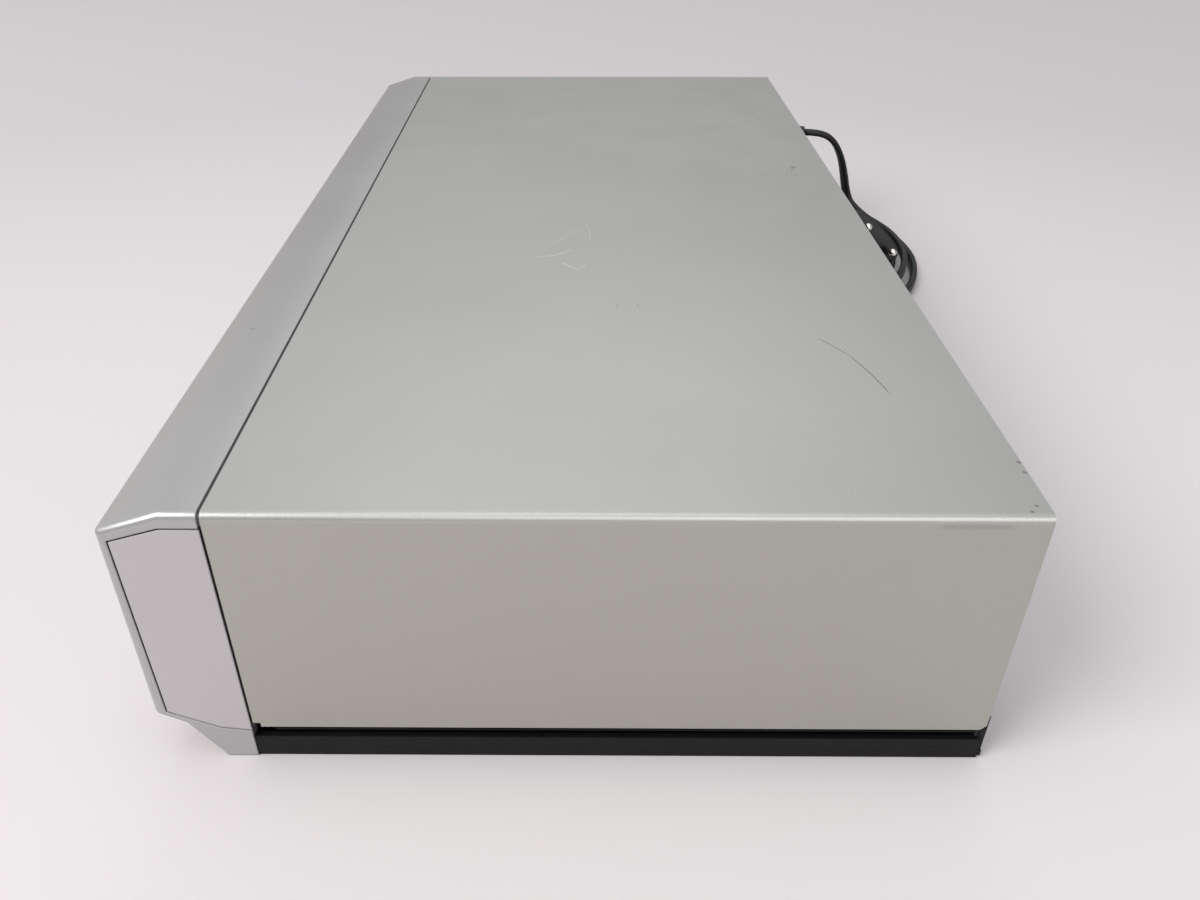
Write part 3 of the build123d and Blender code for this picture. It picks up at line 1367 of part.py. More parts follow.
pinch_rest = (
    pinch_pivot[0] + pinch_length * math.cos(math.radians(pinch_rest_angle)),
    pinch_pivot[1] + pinch_length * math.sin(math.radians(pinch_rest_angle)),
)
pinch_arm_z = deck_top + 0.4
with BuildPart() as pinch_arm:
    with BuildSketch(Plane.XY.offset(pinch_arm_z)):
        with Locations(at_deck((pinch_pivot[0] + pinch_rest[0]) / 2, (pinch_pivot[1] + pinch_rest[1]) / 2)):
            SlotCenterToCenter(pinch_length, 8.0, rotation=pinch_rest_angle)
        with Locations(at_deck(*pinch_pivot)):
            Circle(shaft_radius + spindle_gap, mode=Mode.SUBTRACT)
    extrude(amount=2.0)
    with BuildSketch(Plane.XY.offset(pinch_arm_z)):
        with Locations(at_deck(*pinch_rest)):
            Circle(shaft_radius)
    extrude(amount=20.0)
pinch_arm.part.label = "pinch_arm"
export_step(pinch_arm.part, "parts/pinch_arm.step")

with BuildPart() as pinch_roller:
    with BuildSketch(Plane.XY.offset(pinch_arm_z + 3.0)):
        with Locations(at_deck(*pinch_rest)):
            Circle(roller_radius)
            Circle(shaft_radius + spindle_gap, mode=Mode.SUBTRACT)
    extrude(amount=15.0)
pinch_roller.part.label = "pinch_roller"
export_step(pinch_roller.part, "parts/pinch_roller.step")


# --- Loading motor and gears ------------------------------------------------------------------------
def gear_outline(teeth, turn):
    """Straight-flanked teeth, four points each; turn places the middle of the first tooth."""
    pitch_radius = gear_module * teeth / 2
    points = []
    for tooth in range(teeth):
        middle = turn + 2 * math.pi * tooth / teeth
        half_pitch = math.pi / teeth
        for radius, share in (
            (pitch_radius - tooth_root, -root_share),
            (pitch_radius + tooth_tip, -tip_share),
            (pitch_radius + tooth_tip, tip_share),
            (pitch_radius - tooth_root, root_share),
        ):
            angle = middle + share * half_pitch
            points.append((radius * math.cos(angle), radius * math.sin(angle)))
    return points


gear_z = deck_top + 0.4
gear_thickness = 4.0
cam_place = at_deck(*cam_at)
pinion_place = at_deck(*motor_at)
with BuildPart() as cam_gear:
    with BuildSketch(Plane(origin=(*cam_place, gear_z))):
        with BuildLine():
            # A tooth space faces the pinion.
            Polyline(*gear_outline(cam_teeth, math.pi / 2 + math.pi / cam_teeth), close=True)
        make_face()
        Circle(shaft_radius + spindle_gap, mode=Mode.SUBTRACT)
        with PolarLocations(10.0, 5):
            Circle(4.0, mode=Mode.SUBTRACT)
    extrude(amount=gear_thickness)
cam_gear.part.label = "cam_gear"
export_step(cam_gear.part, "parts/cam_gear.step")

pinion_shaft_radius = 1.0
motor_radius = 10.0
motor_bottom_z = board_top + 1.0
with BuildPart() as loading_pinion:
    with BuildSketch(Plane(origin=(*pinion_place, gear_z))):
        with BuildLine():
            Polyline(*gear_outline(pinion_teeth, -math.pi / 2), close=True)
        make_face()
    extrude(amount=gear_thickness + 1.0)
    with BuildSketch(Plane(origin=(*pinion_place, deck_z - 4.0))):
        Circle(pinion_shaft_radius)
    extrude(amount=6.0)
loading_pinion.part.label = "loading_pinion"
export_step(loading_pinion.part, "parts/loading_pinion.step")

with BuildPart() as loading_motor:
    with BuildSketch(Plane(origin=(*pinion_place, motor_bottom_z))):
        Circle(motor_radius)
    extrude(amount=deck_z - motor_bottom_z)
    with BuildSketch(Plane(origin=(*pinion_place, deck_z))):
        Circle(pinion_shaft_radius + spindle_gap)
    extrude(amount=-5.0, mode=Mode.SUBTRACT)
loading_motor.part.label = "loading_motor"
export_step(loading_motor.part, "parts/loading_motor.step")

# The timing shaft keeps the slider's two sides level. Its two gears are moulded on its ends.
timing_gear_thickness = 2.0
timing_gear_start = (slider_inner + slider_outer - timing_gear_thickness) / 2
timing_shaft_half = timing_gear_start + timing_gear_thickness
with BuildPart() as timing_shaft:
    with BuildSketch(Plane.YZ.offset(slot_x - timing_shaft_half)):
        with Locations((at_datum(timing_y), timing_z)):
            Circle(timing_shaft_radius)
    extrude(amount=2 * timing_shaft_half)
    for side in (-1, 1):
        with BuildSketch(
            Plane(
                origin=(slot_x + side * timing_gear_start, at_datum(timing_y), timing_z),
                x_dir=(0, 1, 0),
                z_dir=(1, 0, 0),
            )
        ):
            with BuildLine():
                # A tooth points down into a space of the rack.
                Polyline(*gear_outline(timing_teeth, -math.pi / 2), close=True)
            make_face()
        extrude(amount=side * timing_gear_thickness)
timing_shaft.part.label = "timing_shaft"
export_step(timing_shaft.part, "parts/timing_shaft.step")

# --- Mains cord -------------------------------------------------------------------------------------
# A thin flexible twin lead: out of the gland, over and down to the table, along the back into an
# oval hank of four turns in two layers, and up into the plug that lies on it.
cord_radius = 2.7
gland_flange = 2.0
relief_length = rear_y - panel_outer_y + 21.0
relief_end_y = panel_outer_y + relief_length
with BuildPart() as cord_gland:
    with BuildSketch(Plane.XZ.offset(-(panel_inner_y - 3.0))):
        with Locations((gland_x, gland_z)):
            Circle(gland_radius)
    extrude(amount=-(panel_outer_y + gland_flange - panel_inner_y + 3.0))
    with BuildSketch(Plane.XZ.offset(-panel_outer_y)):
        with Locations((gland_x, gland_z)):
            Circle(gland_radius + 1.6)
    extrude(amount=-gland_flange)
    with BuildSketch(Plane.XZ.offset(-(panel_inner_y - 3.0))):
        with Locations((gland_x, gland_z)):
            Circle(gland_radius + 1.6)
    extrude(amount=-2.6)
    with BuildSketch(Plane.XZ.offset(-(panel_outer_y + gland_flange))):
        with Locations((gland_x, gland_z)):
            Circle(gland_radius - 0.8)
    with BuildSketch(Plane.XZ.offset(-relief_end_y)):
        with Locations((gland_x, gland_z)):
            Circle(cord_radius + 0.6)
    loft()
cord_gland.part.label = "cord_gland"
export_step(cord_gland.part, "parts/cord_gland.step")

# Hank: each turn is a rear arc, a right end arc, a straight front run and a left end arc.
hank_x = gland_x + 52.0
hank_floor = 1.2
hank_front = 14.0
hank_back = 71.8
rear_radius = 92.0
end_radius = 23.3
turn_step = 6.2
layer_step = 5.85
layer_z = (hank_floor + cord_radius, hank_floor + cord_radius + layer_step)
rear_centre = hank_back - rear_radius
hank_start_u = -46.0


def end_arc(rear_offset, front_offset):
    """Centre (u, v) and radius of the end arc that touches a rear arc and a front run."""
    radius = end_radius - (rear_offset + front_offset) / 2
    v = hank_front + front_offset + radius
    u = math.sqrt((rear_radius - rear_offset - radius) ** 2 - (v - rear_centre) ** 2)
    return u, v, radius


def touch_point(rear_offset, arc):
    """Where the end arc touches its rear arc, on the right-hand side."""
    u, v, radius = arc
    reach = (rear_radius - rear_offset) / math.hypot(u, v - rear_centre)
    return u * reach, rear_centre + (v - rear_centre) * reach


def hank_point(u, v, z):
    return Vector(hank_x + u, rear_y + v, z)


def arc_middle(centre, start, end):
    """The point of the arc halfway between start and end, on their side of the centre."""
    du = (start[0] + end[0]) / 2 - centre[0]
    dv = (start[1] + end[1]) / 2 - centre[1]
    scale = math.hypot(start[0] - centre[0], start[1] - centre[1]) / math.hypot(du, dv)
    return centre[0] + du * scale, centre[1] + dv * scale


# Rear and front offsets of the four turns, inwards on the table, outwards again on top. The
# first turn lies one step further out, so that the lead comes down clear of the others.
rear_offsets = (-turn_step, turn_step, turn_step, 0.0)
front_offsets = (0.5 * turn_step, 1.5 * turn_step, 0.5 * turn_step, -0.5 * turn_step)
climb_turn = 1
start_v = rear_centre + math.sqrt((rear_radius - rear_offsets[0]) ** 2 - hank_start_u**2)
start_uv = (hank_start_u, start_v)
hank_pieces = []
here = start_uv
for turn, (rear_offset, front_offset) in enumerate(zip(rear_offsets, front_offsets)):
    z = layer_z[0] if turn <= climb_turn else layer_z[1]
    right = end_arc(rear_offset, front_offset)
    touch = touch_point(rear_offset, right)
    hank_pieces.append(("arc", here, arc_middle((0, rear_centre), here, touch), touch, z))
    low = (right[0], right[1] - right[2])
    far = (
        right[0] + right[2] * math.cos(math.radians(-10.0)),
        right[1] + right[2] * math.sin(math.radians(-10.0)),
    )
    hank_pieces.append(("arc", touch, arc_middle(right[:2], touch, far), far, z))
    hank_pieces.append(("arc", far, arc_middle(right[:2], far, low), low, z))
    last = turn == len(rear_offsets) - 1
    left = end_arc(0.0 if last else rear_offsets[turn + 1], front_offset)
    front_end = (-left[0], left[1] - left[2])
    hank_pieces.append(("climb" if turn == climb_turn else "run", low, None, front_end, z))
    if not last:
        z = layer_z[0] if turn < climb_turn else layer_z[1]
        left_touch = touch_point(rear_offsets[turn + 1], left)
        left_touch = (-left_touch[0], left_touch[1])
        left_far = (
            -left[0] - left[2] * math.cos(math.radians(-10.0)),
            left[1] + left[2] * math.sin(math.radians(-10.0)),
        )
        centre = (-left[0], left[1])
        hank_pieces.append(("arc", front_end, arc_middle(centre, front_end, left_far), left_far, z))
        hank_pieces.append(("arc", left_far, arc_middle(centre, left_far, left_touch), left_touch, z))
        here = left_touch
hank_end = front_end

with BuildPart() as mains_cord_hank:
    with BuildLine() as hank_path:
        for kind, start, middle, end, z in hank_pieces:
            if kind == "arc":
                ThreePointArc(hank_point(*start, z), hank_point(*middle, z), hank_point(*end, z))
            elif kind == "run":
                Line(hank_point(*start, z), hank_point(*end, z))
            else:
                # Two equal arcs in the upright plane lift the run by one layer.
                run = start[0] - end[0]
                rise = layer_z[1] - layer_z[0]
                ramp = (run**2 / 4 + rise**2 / 4) / rise
                half_angle = math.asin(run / 4 / ramp)
                sag = ramp * (1 - math.cos(half_angle))
                quarter = ramp * math.sin(half_angle)
                v = start[1]
                middle_point = hank_point((start[0] + end[0]) / 2, v, z + rise / 2)
                ThreePointArc(
                    hank_point(*start, z), hank_point(start[0] - quarter, v, z + sag), middle_point
                )
                ThreePointArc(
                    middle_point, hank_point(end[0] + quarter, v, z + rise - sag), hank_point(*end, z + rise)
                )
    hank_wire = hank_path.wires()[0]
    with BuildSketch(Plane(origin=hank_wire @ 0, z_dir=hank_wire % 0)):
        Circle(cord_radius)
    sweep(path=hank_wire)
mains_cord_hank.part.label = "mains_cord_hank"
export_step(mains_cord_hank.part, "parts/mains_cord_hank.step")

hank_length = hank_wire.length
samples = [hank_wire @ (i / 600) for i in range(601)]
least_gap = min(
    (samples[i] - samples[j]).length
    for i in range(601)
    for j in range(i + 1, 601)
    if (j - i) * hank_length / 600 > 8 * cord_radius
)
print("hank length", round(hank_length, 1), "least gap to itself", round(least_gap - 2 * cord_radius, 2))
print("hank volume", round(mains_cord_hank.part.volume / (math.pi * cord_radius**2 * hank_length), 4))


def cord_radii(points):
    """As large an arc at each corner as its two runs allow."""
    radii = []
    for before, corner, after in zip(points, points[1:], points[2:]):
        incoming = corner - before
        outgoing = after - corner
        turn = math.radians(incoming.get_angle(outgoing))
        radii.append(0.45 * min(incoming.length, outgoing.length) / math.tan(turn / 2))
    return radii


# Routes: x from the gland, y behind the cover's rear edge, z. The lead's last run points the way
# the hank sets off.
lead_run = 9.0
start_x = hank_x + start_uv[0] - gland_x
start_radius = rear_radius - rear_offsets[0]
start_way = ((start_uv[1] - rear_centre) / start_radius, -start_uv[0] / start_radius)
lead_route = [
    (0.0, relief_end_y - rear_y, gland_z),
    (0.0, 30.5, gland_z),
    (-1.2, 39.5, 53.8),
    (-4.4, 46.2, 43.3),
    (-8.6, 50.8, 31.0),
    (-13.0, 54.6, 18.9),
    (-9.7, 58.3, 9.6),
    (start_x - lead_run * start_way[0], start_uv[1] - lead_run * start_way[1], layer_z[0]),
    (start_x, start_uv[1], layer_z[0]),
]
# Tail: from the top layer's front run round the left end, over the turns and down inside them.
tail_route = [
    (hank_x + hank_end[0] - gland_x, hank_end[1], layer_z[1]),
    (5.5, hank_end[1], layer_z[1]),
    (-3.5, 16.0, 13.2),
    (-7.5, 25.5, 16.0),
    (-5.5, 36.5, 16.7),
    (1.5, 44.5, 16.4),
    (11.5, 49.5, 13.9),
    (21.7, 51.3, 10.6),
]


def cord_points(route):
    return [Vector(gland_x + x, rear_y + y, z) for x, y, z in route]


# The plug leans on the turns, its pins towards +X and a little upwards.
plug_aim = Vector(0.95, -0.08, 0.30).normalized()
plug_across = Vector(0.26, 0.72, -0.64)
plug_entry = Vector(gland_x + 40.9, rear_y + 49.7, 12.8)
plug_approach = 9.6
lead_points = cord_points(lead_route)
tail_points = cord_points(tail_route) + [plug_entry - plug_aim * plug_approach, plug_entry]
for name, points in (("mains_cord_lead", lead_points), ("mains_cord_tail", tail_points)):
    radii = cord_radii(points)
    print(name, "radii", [round(radius, 1) for radius in radii])
    with BuildPart() as cord:
        with BuildLine() as cord_line:
            FilletPolyline(*points, radius=radii)
        cord_wire = cord_line.wires()[0]
        with BuildSketch(Plane(origin=cord_wire @ 0, z_dir=cord_wire % 0)):
            Circle(cord_radius)
        sweep(path=cord_wire)
    print(name, "length", round(cord_wire.length, 1))
    print(name, "volume", round(cord.part.volume / (math.pi * cord_radius**2 * cord_wire.length), 4))
    cord.part.label = name
    export_step(cord.part, f"parts/{name}.step")

# --- Plug -------------------------------------------------------------------------------------------
plug_pitch = 18.6
plug_pin_radius = 2.0
plug_pin_length = 19.0
plug_sleeve_length = 10.0
plug_width = 35.3
plug_depth = 13.7
plug_length = 36.0
plug_relief = 14.0
plug_face = plug_entry + plug_aim * (plug_length + plug_relief)
plug_side = plug_across - plug_aim * plug_across.dot(plug_aim)
plug_plane = Plane(origin=plug_face, x_dir=plug_side, z_dir=plug_aim)


def plug_section(wide, deep):
    """A flattened hexagon, as a two-pin plug has."""
    return [
        (-wide / 2, 0),
        (-wide / 2 + deep / 2.5, deep / 2),
        (wide / 2 - deep / 2.5, deep / 2),
        (wide / 2, 0),
        (wide / 2 - deep / 2.5, -deep / 2),
        (-wide / 2 + deep / 2.5, -deep / 2),
    ]


with BuildPart() as mains_plug:
    for back, wide, deep in ((0.0, plug_width, plug_depth), (-14.0, plug_width - 2.0, plug_depth)):
        with BuildSketch(plug_plane.offset(back)):
            Polygon(*plug_section(wide, deep))
    loft()
    with BuildSketch(plug_plane.offset(-14.0)):
        Polygon(*plug_section(plug_width - 2.0, plug_depth))
    with BuildSketch(plug_plane.offset(-plug_length)):
        Polygon(*plug_section(13.0, 9.0))
    loft()
    with BuildSketch(plug_plane.offset(-plug_length)):
        Circle(4.2)
    with BuildSketch(plug_plane.offset(-plug_length - plug_relief)):
        Circle(cord_radius + 0.4)
    loft()
    with BuildSketch(plug_plane):
        with GridLocations(plug_pitch, 0, 2, 1):
            Circle(plug_pin_radius + screw_gap)
    extrude(amount=-6.0, mode=Mode.SUBTRACT)
mains_plug.part.label = "mains_plug"
export_step(mains_plug.part, "parts/mains_plug.step")

with BuildPart() as plug_pins:
    with BuildSketch(plug_plane.offset(-6.0)):
        with GridLocations(plug_pitch, 0, 2, 1):
            Circle(plug_pin_radius)
    extrude(amount=6.0 + plug_pin_length)
    tips = plug_pins.faces().sort_by(Axis(plug_plane.origin, plug_plane.z_dir))[-2:]
    fillet(tips.edges(), radius=plug_pin_radius * 0.9)
plug_pins.part.label = "plug_pins"
export_step(plug_pins.part, "parts/plug_pins.step")

# The tie round the four front runs.
tie_width = 8.0
tie_wall = 1.0
tie_low = layer_z[0] - cord_radius
tie_high = layer_z[1] + cord_radius
tie_near = hank_front + min(front_offsets) - cord_radius
tie_far = hank_front + max(front_offsets) + cord_radius
tie_x = hank_x + 20.0
with BuildPart() as cord_tie:
    with BuildSketch(Plane.YZ.offset(tie_x - tie_width / 2)):
        with Locations((rear_y + (tie_near + tie_far) / 2, (tie_low + tie_high) / 2)):
            RectangleRounded(
                tie_far - tie_near + 2 * (tie_wall + screw_gap),
                tie_high - tie_low + 2 * (tie_wall + screw_gap),
                3.0,
            )
            RectangleRounded(
                tie_far - tie_near + 2 * screw_gap, tie_high - tie_low + 2 * screw_gap, 2.0, mode=Mode.SUBTRACT
            )
    extrude(amount=tie_width)
cord_tie.part.label = "cord_tie"
export_step(cord_tie.part, "parts/cord_tie.step")
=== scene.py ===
import math

import bpy
import numpy as np
from mathutils import Matrix, Vector


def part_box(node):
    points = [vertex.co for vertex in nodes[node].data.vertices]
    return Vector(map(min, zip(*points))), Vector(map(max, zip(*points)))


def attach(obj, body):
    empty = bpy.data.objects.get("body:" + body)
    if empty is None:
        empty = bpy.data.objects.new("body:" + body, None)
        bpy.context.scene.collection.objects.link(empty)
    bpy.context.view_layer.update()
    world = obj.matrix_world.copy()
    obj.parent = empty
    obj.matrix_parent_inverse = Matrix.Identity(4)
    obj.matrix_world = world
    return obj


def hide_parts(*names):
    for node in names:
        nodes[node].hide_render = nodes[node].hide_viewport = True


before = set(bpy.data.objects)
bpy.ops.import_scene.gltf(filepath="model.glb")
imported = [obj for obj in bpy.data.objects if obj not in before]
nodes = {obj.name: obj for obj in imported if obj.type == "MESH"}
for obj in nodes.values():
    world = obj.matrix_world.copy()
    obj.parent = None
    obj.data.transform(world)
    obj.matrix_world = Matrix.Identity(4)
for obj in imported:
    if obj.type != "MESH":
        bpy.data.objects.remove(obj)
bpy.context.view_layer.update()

# A video cassette recorder in silver, seen from above its right-hand end. Metres throughout.
MM = 0.001

cover_low, cover_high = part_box("top_cover")
half_width, rear_y, cover_top = (float(value) for value in cover_high)
seam_gap = 0.8 * MM
seam_y = float(cover_low[1]) - seam_gap


# --- Camera -------------------------------------------------------------------------------------
def place_camera():
    """The lens, place and turn that the housing's eight corners give, with a small shift of frame."""
    data = bpy.data.cameras.new("camera")
    camera = bpy.data.objects.new("camera", data)
    bpy.context.scene.collection.objects.link(camera)
    data.sensor_width = 36.0
    data.lens = 29.466
    data.shift_x = 0.0216
    data.shift_y = -0.0035
    data.clip_start = 0.01
    place = Vector((0.39656, seam_y + 0.08993, 0.2249))
    pitch, roll, yaw = (math.radians(degrees) for degrees in (33.51, -0.05, 180.396))
    ahead = Vector((math.cos(pitch) * math.cos(yaw), math.cos(pitch) * math.sin(yaw), -math.sin(pitch)))
    level = ahead.cross(Vector((0, 0, 1))).normalized()
    above = level.cross(ahead)
    right = math.cos(roll) * level + math.sin(roll) * above
    up = right.cross(ahead)
    turn = Matrix((right, up, -ahead)).transposed()
    camera.matrix_world = Matrix.Translation(place) @ turn.to_4x4()
    bpy.context.scene.camera = camera


place_camera()


# --- Material building ----------------------------------------------------------------------------
def shade(red, green, blue):
    """A colour as seen on a screen, 0 to 255, as linear light with full alpha."""
    seen = np.array([red, green, blue]) / 255.0
    linear = np.where(seen > 0.04045, ((seen + 0.055) / 1.055) ** 2.4, seen / 12.92)
    return (*linear.tolist(), 1.0)


class Finish:
    """One surface finish: a Principled shader and the nodes that vary it over the object. edge is
    the radius, in metres, to which its sharp edges look rounded."""

    def __init__(self, name, colour, roughness, metallic=0.0, specular=0.5, coat=0.0, edge=0.0):
        self.material = bpy.data.materials.new(name)
        self.material.use_nodes = True
        self.tree = self.material.node_tree
        self.shader = self.tree.nodes["Principled BSDF"]
        for socket, value in (
            ("Base Color", colour),
            ("Roughness", roughness),
            ("Metallic", metallic),
            ("Specular IOR Level", specular),
            ("Coat Weight", coat),
            ("Coat Roughness", 0.12),
        ):
            self.shader.inputs[socket].default_value = value
        self.colour = colour
        self.place = self.add("ShaderNodeTexCoord").outputs["Object"]
        self.height = None
        if edge:
            self.height = self.add("ShaderNodeBevel", {"Radius": edge}, samples=6).outputs[0]
            self.tree.links.new(self.height, self.shader.inputs["Normal"])

    def add(self, kind, feeds=(), **settings):
        """A new node with those settings, its inputs linked to sockets or set to values."""
        made = self.tree.nodes.new(kind)
        for key, value in settings.items():
            setattr(made, key, value)
        for key, value in dict(feeds).items():
            if isinstance(value, bpy.types.NodeSocket):
                self.tree.links.new(value, made.inputs[key])
            else:
                made.inputs[key].default_value = value
        return made

    def moved(self, place=(0, 0, 0), turn=(0, 0, 0), size=(1, 1, 1)):
        """Object coordinates with the origin at place, turned, in units of size."""
        centred = self.add(
            "ShaderNodeVectorMath", {0: self.place, 1: place}, operation="SUBTRACT"
        ).outputs[0]
        turned = self.add(
            "ShaderNodeVectorRotate", {"Vector": centred, "Rotation": turn}, rotation_type="EULER_XYZ"
        ).outputs[0]
        return self.add("ShaderNodeVectorMath", {0: turned, 1: size}, operation="DIVIDE").outputs[0]

    def noise(self, scale, detail=4.0, roughness=0.55, place=None):
        feeds = {
            "Vector": self.place if place is None else place,
            "Scale": scale,
            "Detail": detail,
            "Roughness": roughness,
        }
        return self.add("ShaderNodeTexNoise", feeds).outputs["Fac"]

    def cells(self, scale, place=None, feature="F1"):
        feeds = {"Vector": self.place if place is None else place, "Scale": scale}
        return self.add("ShaderNodeTexVoronoi", feeds, feature=feature).outputs["Distance"]

    def span(self, value, low, high, to_low=0.0, to_high=1.0):
        """value carried from low..high to to_low..to_high, clamped."""
        feeds = {"Value": value, "From Min": low, "From Max": high, "To Min": to_low, "To Max": to_high}
        return self.add("ShaderNodeMapRange", feeds).outputs[0]

    def maths(self, operation, first, second=0.0):
        return self.add("ShaderNodeMath", {0: first, 1: second}, operation=operation).outputs[0]

    def share(self, factor, amount):
        return self.maths("MULTIPLY", factor, amount)

    def axes(self):
        """The three Object coordinates, each a socket of its own."""
        return self.add("ShaderNodeSeparateXYZ", {0: self.place}).outputs

    def tint(self, factor, colour):
        """The base colour goes towards colour where factor is 1."""
        mixed = self.add("ShaderNodeMix", data_type="RGBA")
        self.tree.links.new(factor, mixed.inputs[0])
        if isinstance(self.colour, bpy.types.NodeSocket):
            self.tree.links.new(self.colour, mixed.inputs[6])
        else:
            mixed.inputs[6].default_value = self.colour
        mixed.inputs[7].default_value = colour
        self.colour = mixed.outputs[2]
        self.tree.links.new(self.colour, self.shader.inputs["Base Color"])

    def vary_roughness(self, factor, low, high):
        self.tree.links.new(self.span(factor, 0.0, 1.0, low, high), self.shader.inputs["Roughness"])

    def raise_by(self, height, depth):
        """Adds a bump of that depth, in metres, over what is already there."""
        bump = self.add("ShaderNodeBump", {"Height": height, "Distance": depth, "Strength": 1.0})
        if self.height is not None:
            self.tree.links.new(self.height, bump.inputs["Normal"])
        self.height = bump.outputs[0]
        self.tree.links.new(self.height, self.shader.inputs["Normal"])

    def mark(self, centre, length, width, turn, bend=0.0, normal="Z"):
        """1 on a fine line of that length and width through centre, 0 elsewhere. It lies in the plane
        across the named axis, turned by turn, and bows aside by bend at its ends."""
        tip = {"Z": (0, 0, 0), "X": (0, -math.pi / 2, -math.pi / 2)}[normal]
        flat = self.moved(centre, tip)
        turned = self.add(
            "ShaderNodeVectorRotate", {"Vector": flat, "Angle": -turn}, rotation_type="Z_AXIS"
        ).outputs[0]
        split = self.add("ShaderNodeSeparateXYZ", {0: turned})
        along = self.maths("DIVIDE", split.outputs[0], length / 2)
        bow = self.maths("MULTIPLY", self.maths("MULTIPLY", along, along), bend)
        aside = self.maths("ABSOLUTE", self.maths("SUBTRACT", split.outputs[1], bow))
        near = self.span(aside, width * 0.3, width * 0.7, 1.0, 0.0)
        within = self.span(self.maths("ABSOLUTE", along), 0.75, 1.0, 1.0, 0.0)
        depth = self.span(self.maths("ABSOLUTE", split.outputs[2]), 4 * MM, 5 * MM, 1.0, 0.0)
        return self.maths("MULTIPLY", self.maths("MULTIPLY", near, within), depth)

    def spot(self, centre, radius):
        """1 within that radius of a point, fading to 0 outside it, with a ragged rim."""
        ragged = self.span(self.noise(2200.0, 2.0), 0.3, 0.7, -0.4 * radius, 0.4 * radius)
        away = self.add("ShaderNodeVectorMath", {0: self.place, 1: centre}, operation="DISTANCE").outputs[1]
        return self.span(self.maths("ADD", away, ragged), 0.6 * radius, 1.1 * radius, 1.0, 0.0)


def silver_paint(name, colour, roughness, metallic, fleck, edge=0.0):
    """Satin silver: fine metallic fleck, a faint cloudiness and a slight orange-peel surface."""
    paint = Finish(name, colour, roughness, metallic, edge=edge)
    paint.tint(paint.span(paint.noise(2600.0, 2.0), 0.35, 0.75, 0.0, fleck), shade(232, 232, 234))
    paint.tint(paint.span(paint.noise(9.0, 3.0), 0.35, 0.75, 0.0, 0.16), shade(150, 150, 147))
    paint.vary_roughness(paint.noise(40.0, 3.0), roughness - 0.05, roughness + 0.07)
    paint.raise_by(paint.noise(900.0, 3.0), 0.00004)
    return paint


def moulded_plastic(name, colour, roughness, grain=700.0, grain_depth=0.00012):
    """Spark-eroded moulding: fine pebbled grain, worn slightly paler where it is handled."""
    plastic = Finish(name, colour, roughness, edge=0.0004)
    plastic.tint(plastic.span(plastic.noise(22.0, 4.0), 0.45, 0.8, 0.0, 0.15), shade(60, 59, 62))
    plastic.vary_roughness(plastic.noise(60.0, 3.0), roughness - 0.06, roughness + 0.1)
    plastic.raise_by(plastic.cells(grain), grain_depth)
    return plastic


def plated_steel(name, colour, roughness, stretch):
    """Zinc-plated sheet: rolling lines along one axis, a cloudy spangle, dull bright metal."""
    steel = Finish(name, colour, roughness, metallic=0.85)
    lines = steel.noise(60.0, 4.0, place=steel.moved(size=stretch))
    steel.tint(steel.span(lines, 0.35, 0.7, 0.0, 0.4), shade(132, 134, 136))
    steel.tint(steel.span(steel.cells(45.0), 0.1, 0.7, 0.0, 0.25), shade(206, 206, 200))
    steel.vary_roughness(lines, roughness - 0.08, roughness + 0.14)
    steel.raise_by(lines, 0.00003)
    return steel


def circuit_board(name, colour, track):
    """Lacquered board: broad copper tracks show through as paler paths, with dull solder points."""
    board = Finish(name, colour, 0.4, coat=0.3)
    paths = board.span(board.cells(210.0, feature="DISTANCE_TO_EDGE"), 0.16, 0.2)
    board.tint(paths, track)
    dots = board.span(board.cells(420.0), 0.12, 0.17, 1.0, 0.0)
    board.tint(dots, shade(176, 178, 176))
    board.raise_by(paths, 0.00005)
    return board


# --- Finishes --------------------------------------------------------------------------------------
cover_paint = silver_paint("silver_cover_paint", shade(188, 189, 185), 0.36, 0.72, 0.2)
bezel_paint = silver_paint("silver_bezel_paint", shade(188, 187, 187), 0.33, 0.6, 0.15, 0.0007)
cap_paint = silver_paint("silver_cap_paint", shade(206, 202, 203), 0.4, 0.3, 0.15, 0.0005)
key_paint = silver_paint("silver_key_paint", shade(192, 192, 195), 0.3, 0.5, 0.12, 0.0003)

base_plastic = moulded_plastic("black_base_plastic", shade(10, 10, 12), 0.6)
base_plastic.shader.inputs["Specular IOR Level"].default_value = 0.3
panel_paint = moulded_plastic("black_panel_paint", shade(40, 39, 41), 0.62, 1500.0, 0.00008)
socket_plastic = moulded_plastic("black_socket_plastic", shade(30, 30, 32), 0.42, 2600.0, 0.00003)
foot_rubber = moulded_plastic("foot_rubber", shade(27, 27, 28), 0.85, 420.0, 0.0002)
belt_rubber = moulded_plastic("belt_rubber", shade(22, 22, 23), 0.7, 1800.0, 0.00005)
cord_skin = moulded_plastic("cord_skin", shade(9, 9, 10), 0.5, 3000.0, 0.00002)
plug_skin = moulded_plastic("plug_skin", shade(24, 24, 27), 0.5, 1600.0, 0.00004)
nylon = Finish("nylon", shade(222, 218, 206), 0.45)
nylon.tint(nylon.span(nylon.noise(30.0), 0.4, 0.8, 0.0, 0.3), shade(196, 188, 168))
nylon.raise_by(nylon.noise(700.0), 0.00003)

window_gloss = Finish("smoked_window_gloss", shade(16, 16, 19), 0.08, coat=0.6)
window_gloss.tint(window_gloss.span(window_gloss.noise(14.0), 0.3, 0.8, 0.0, 0.3), shade(28, 26, 30))
window_gloss.raise_by(window_gloss.noise(6.0, 1.0), 0.0002)

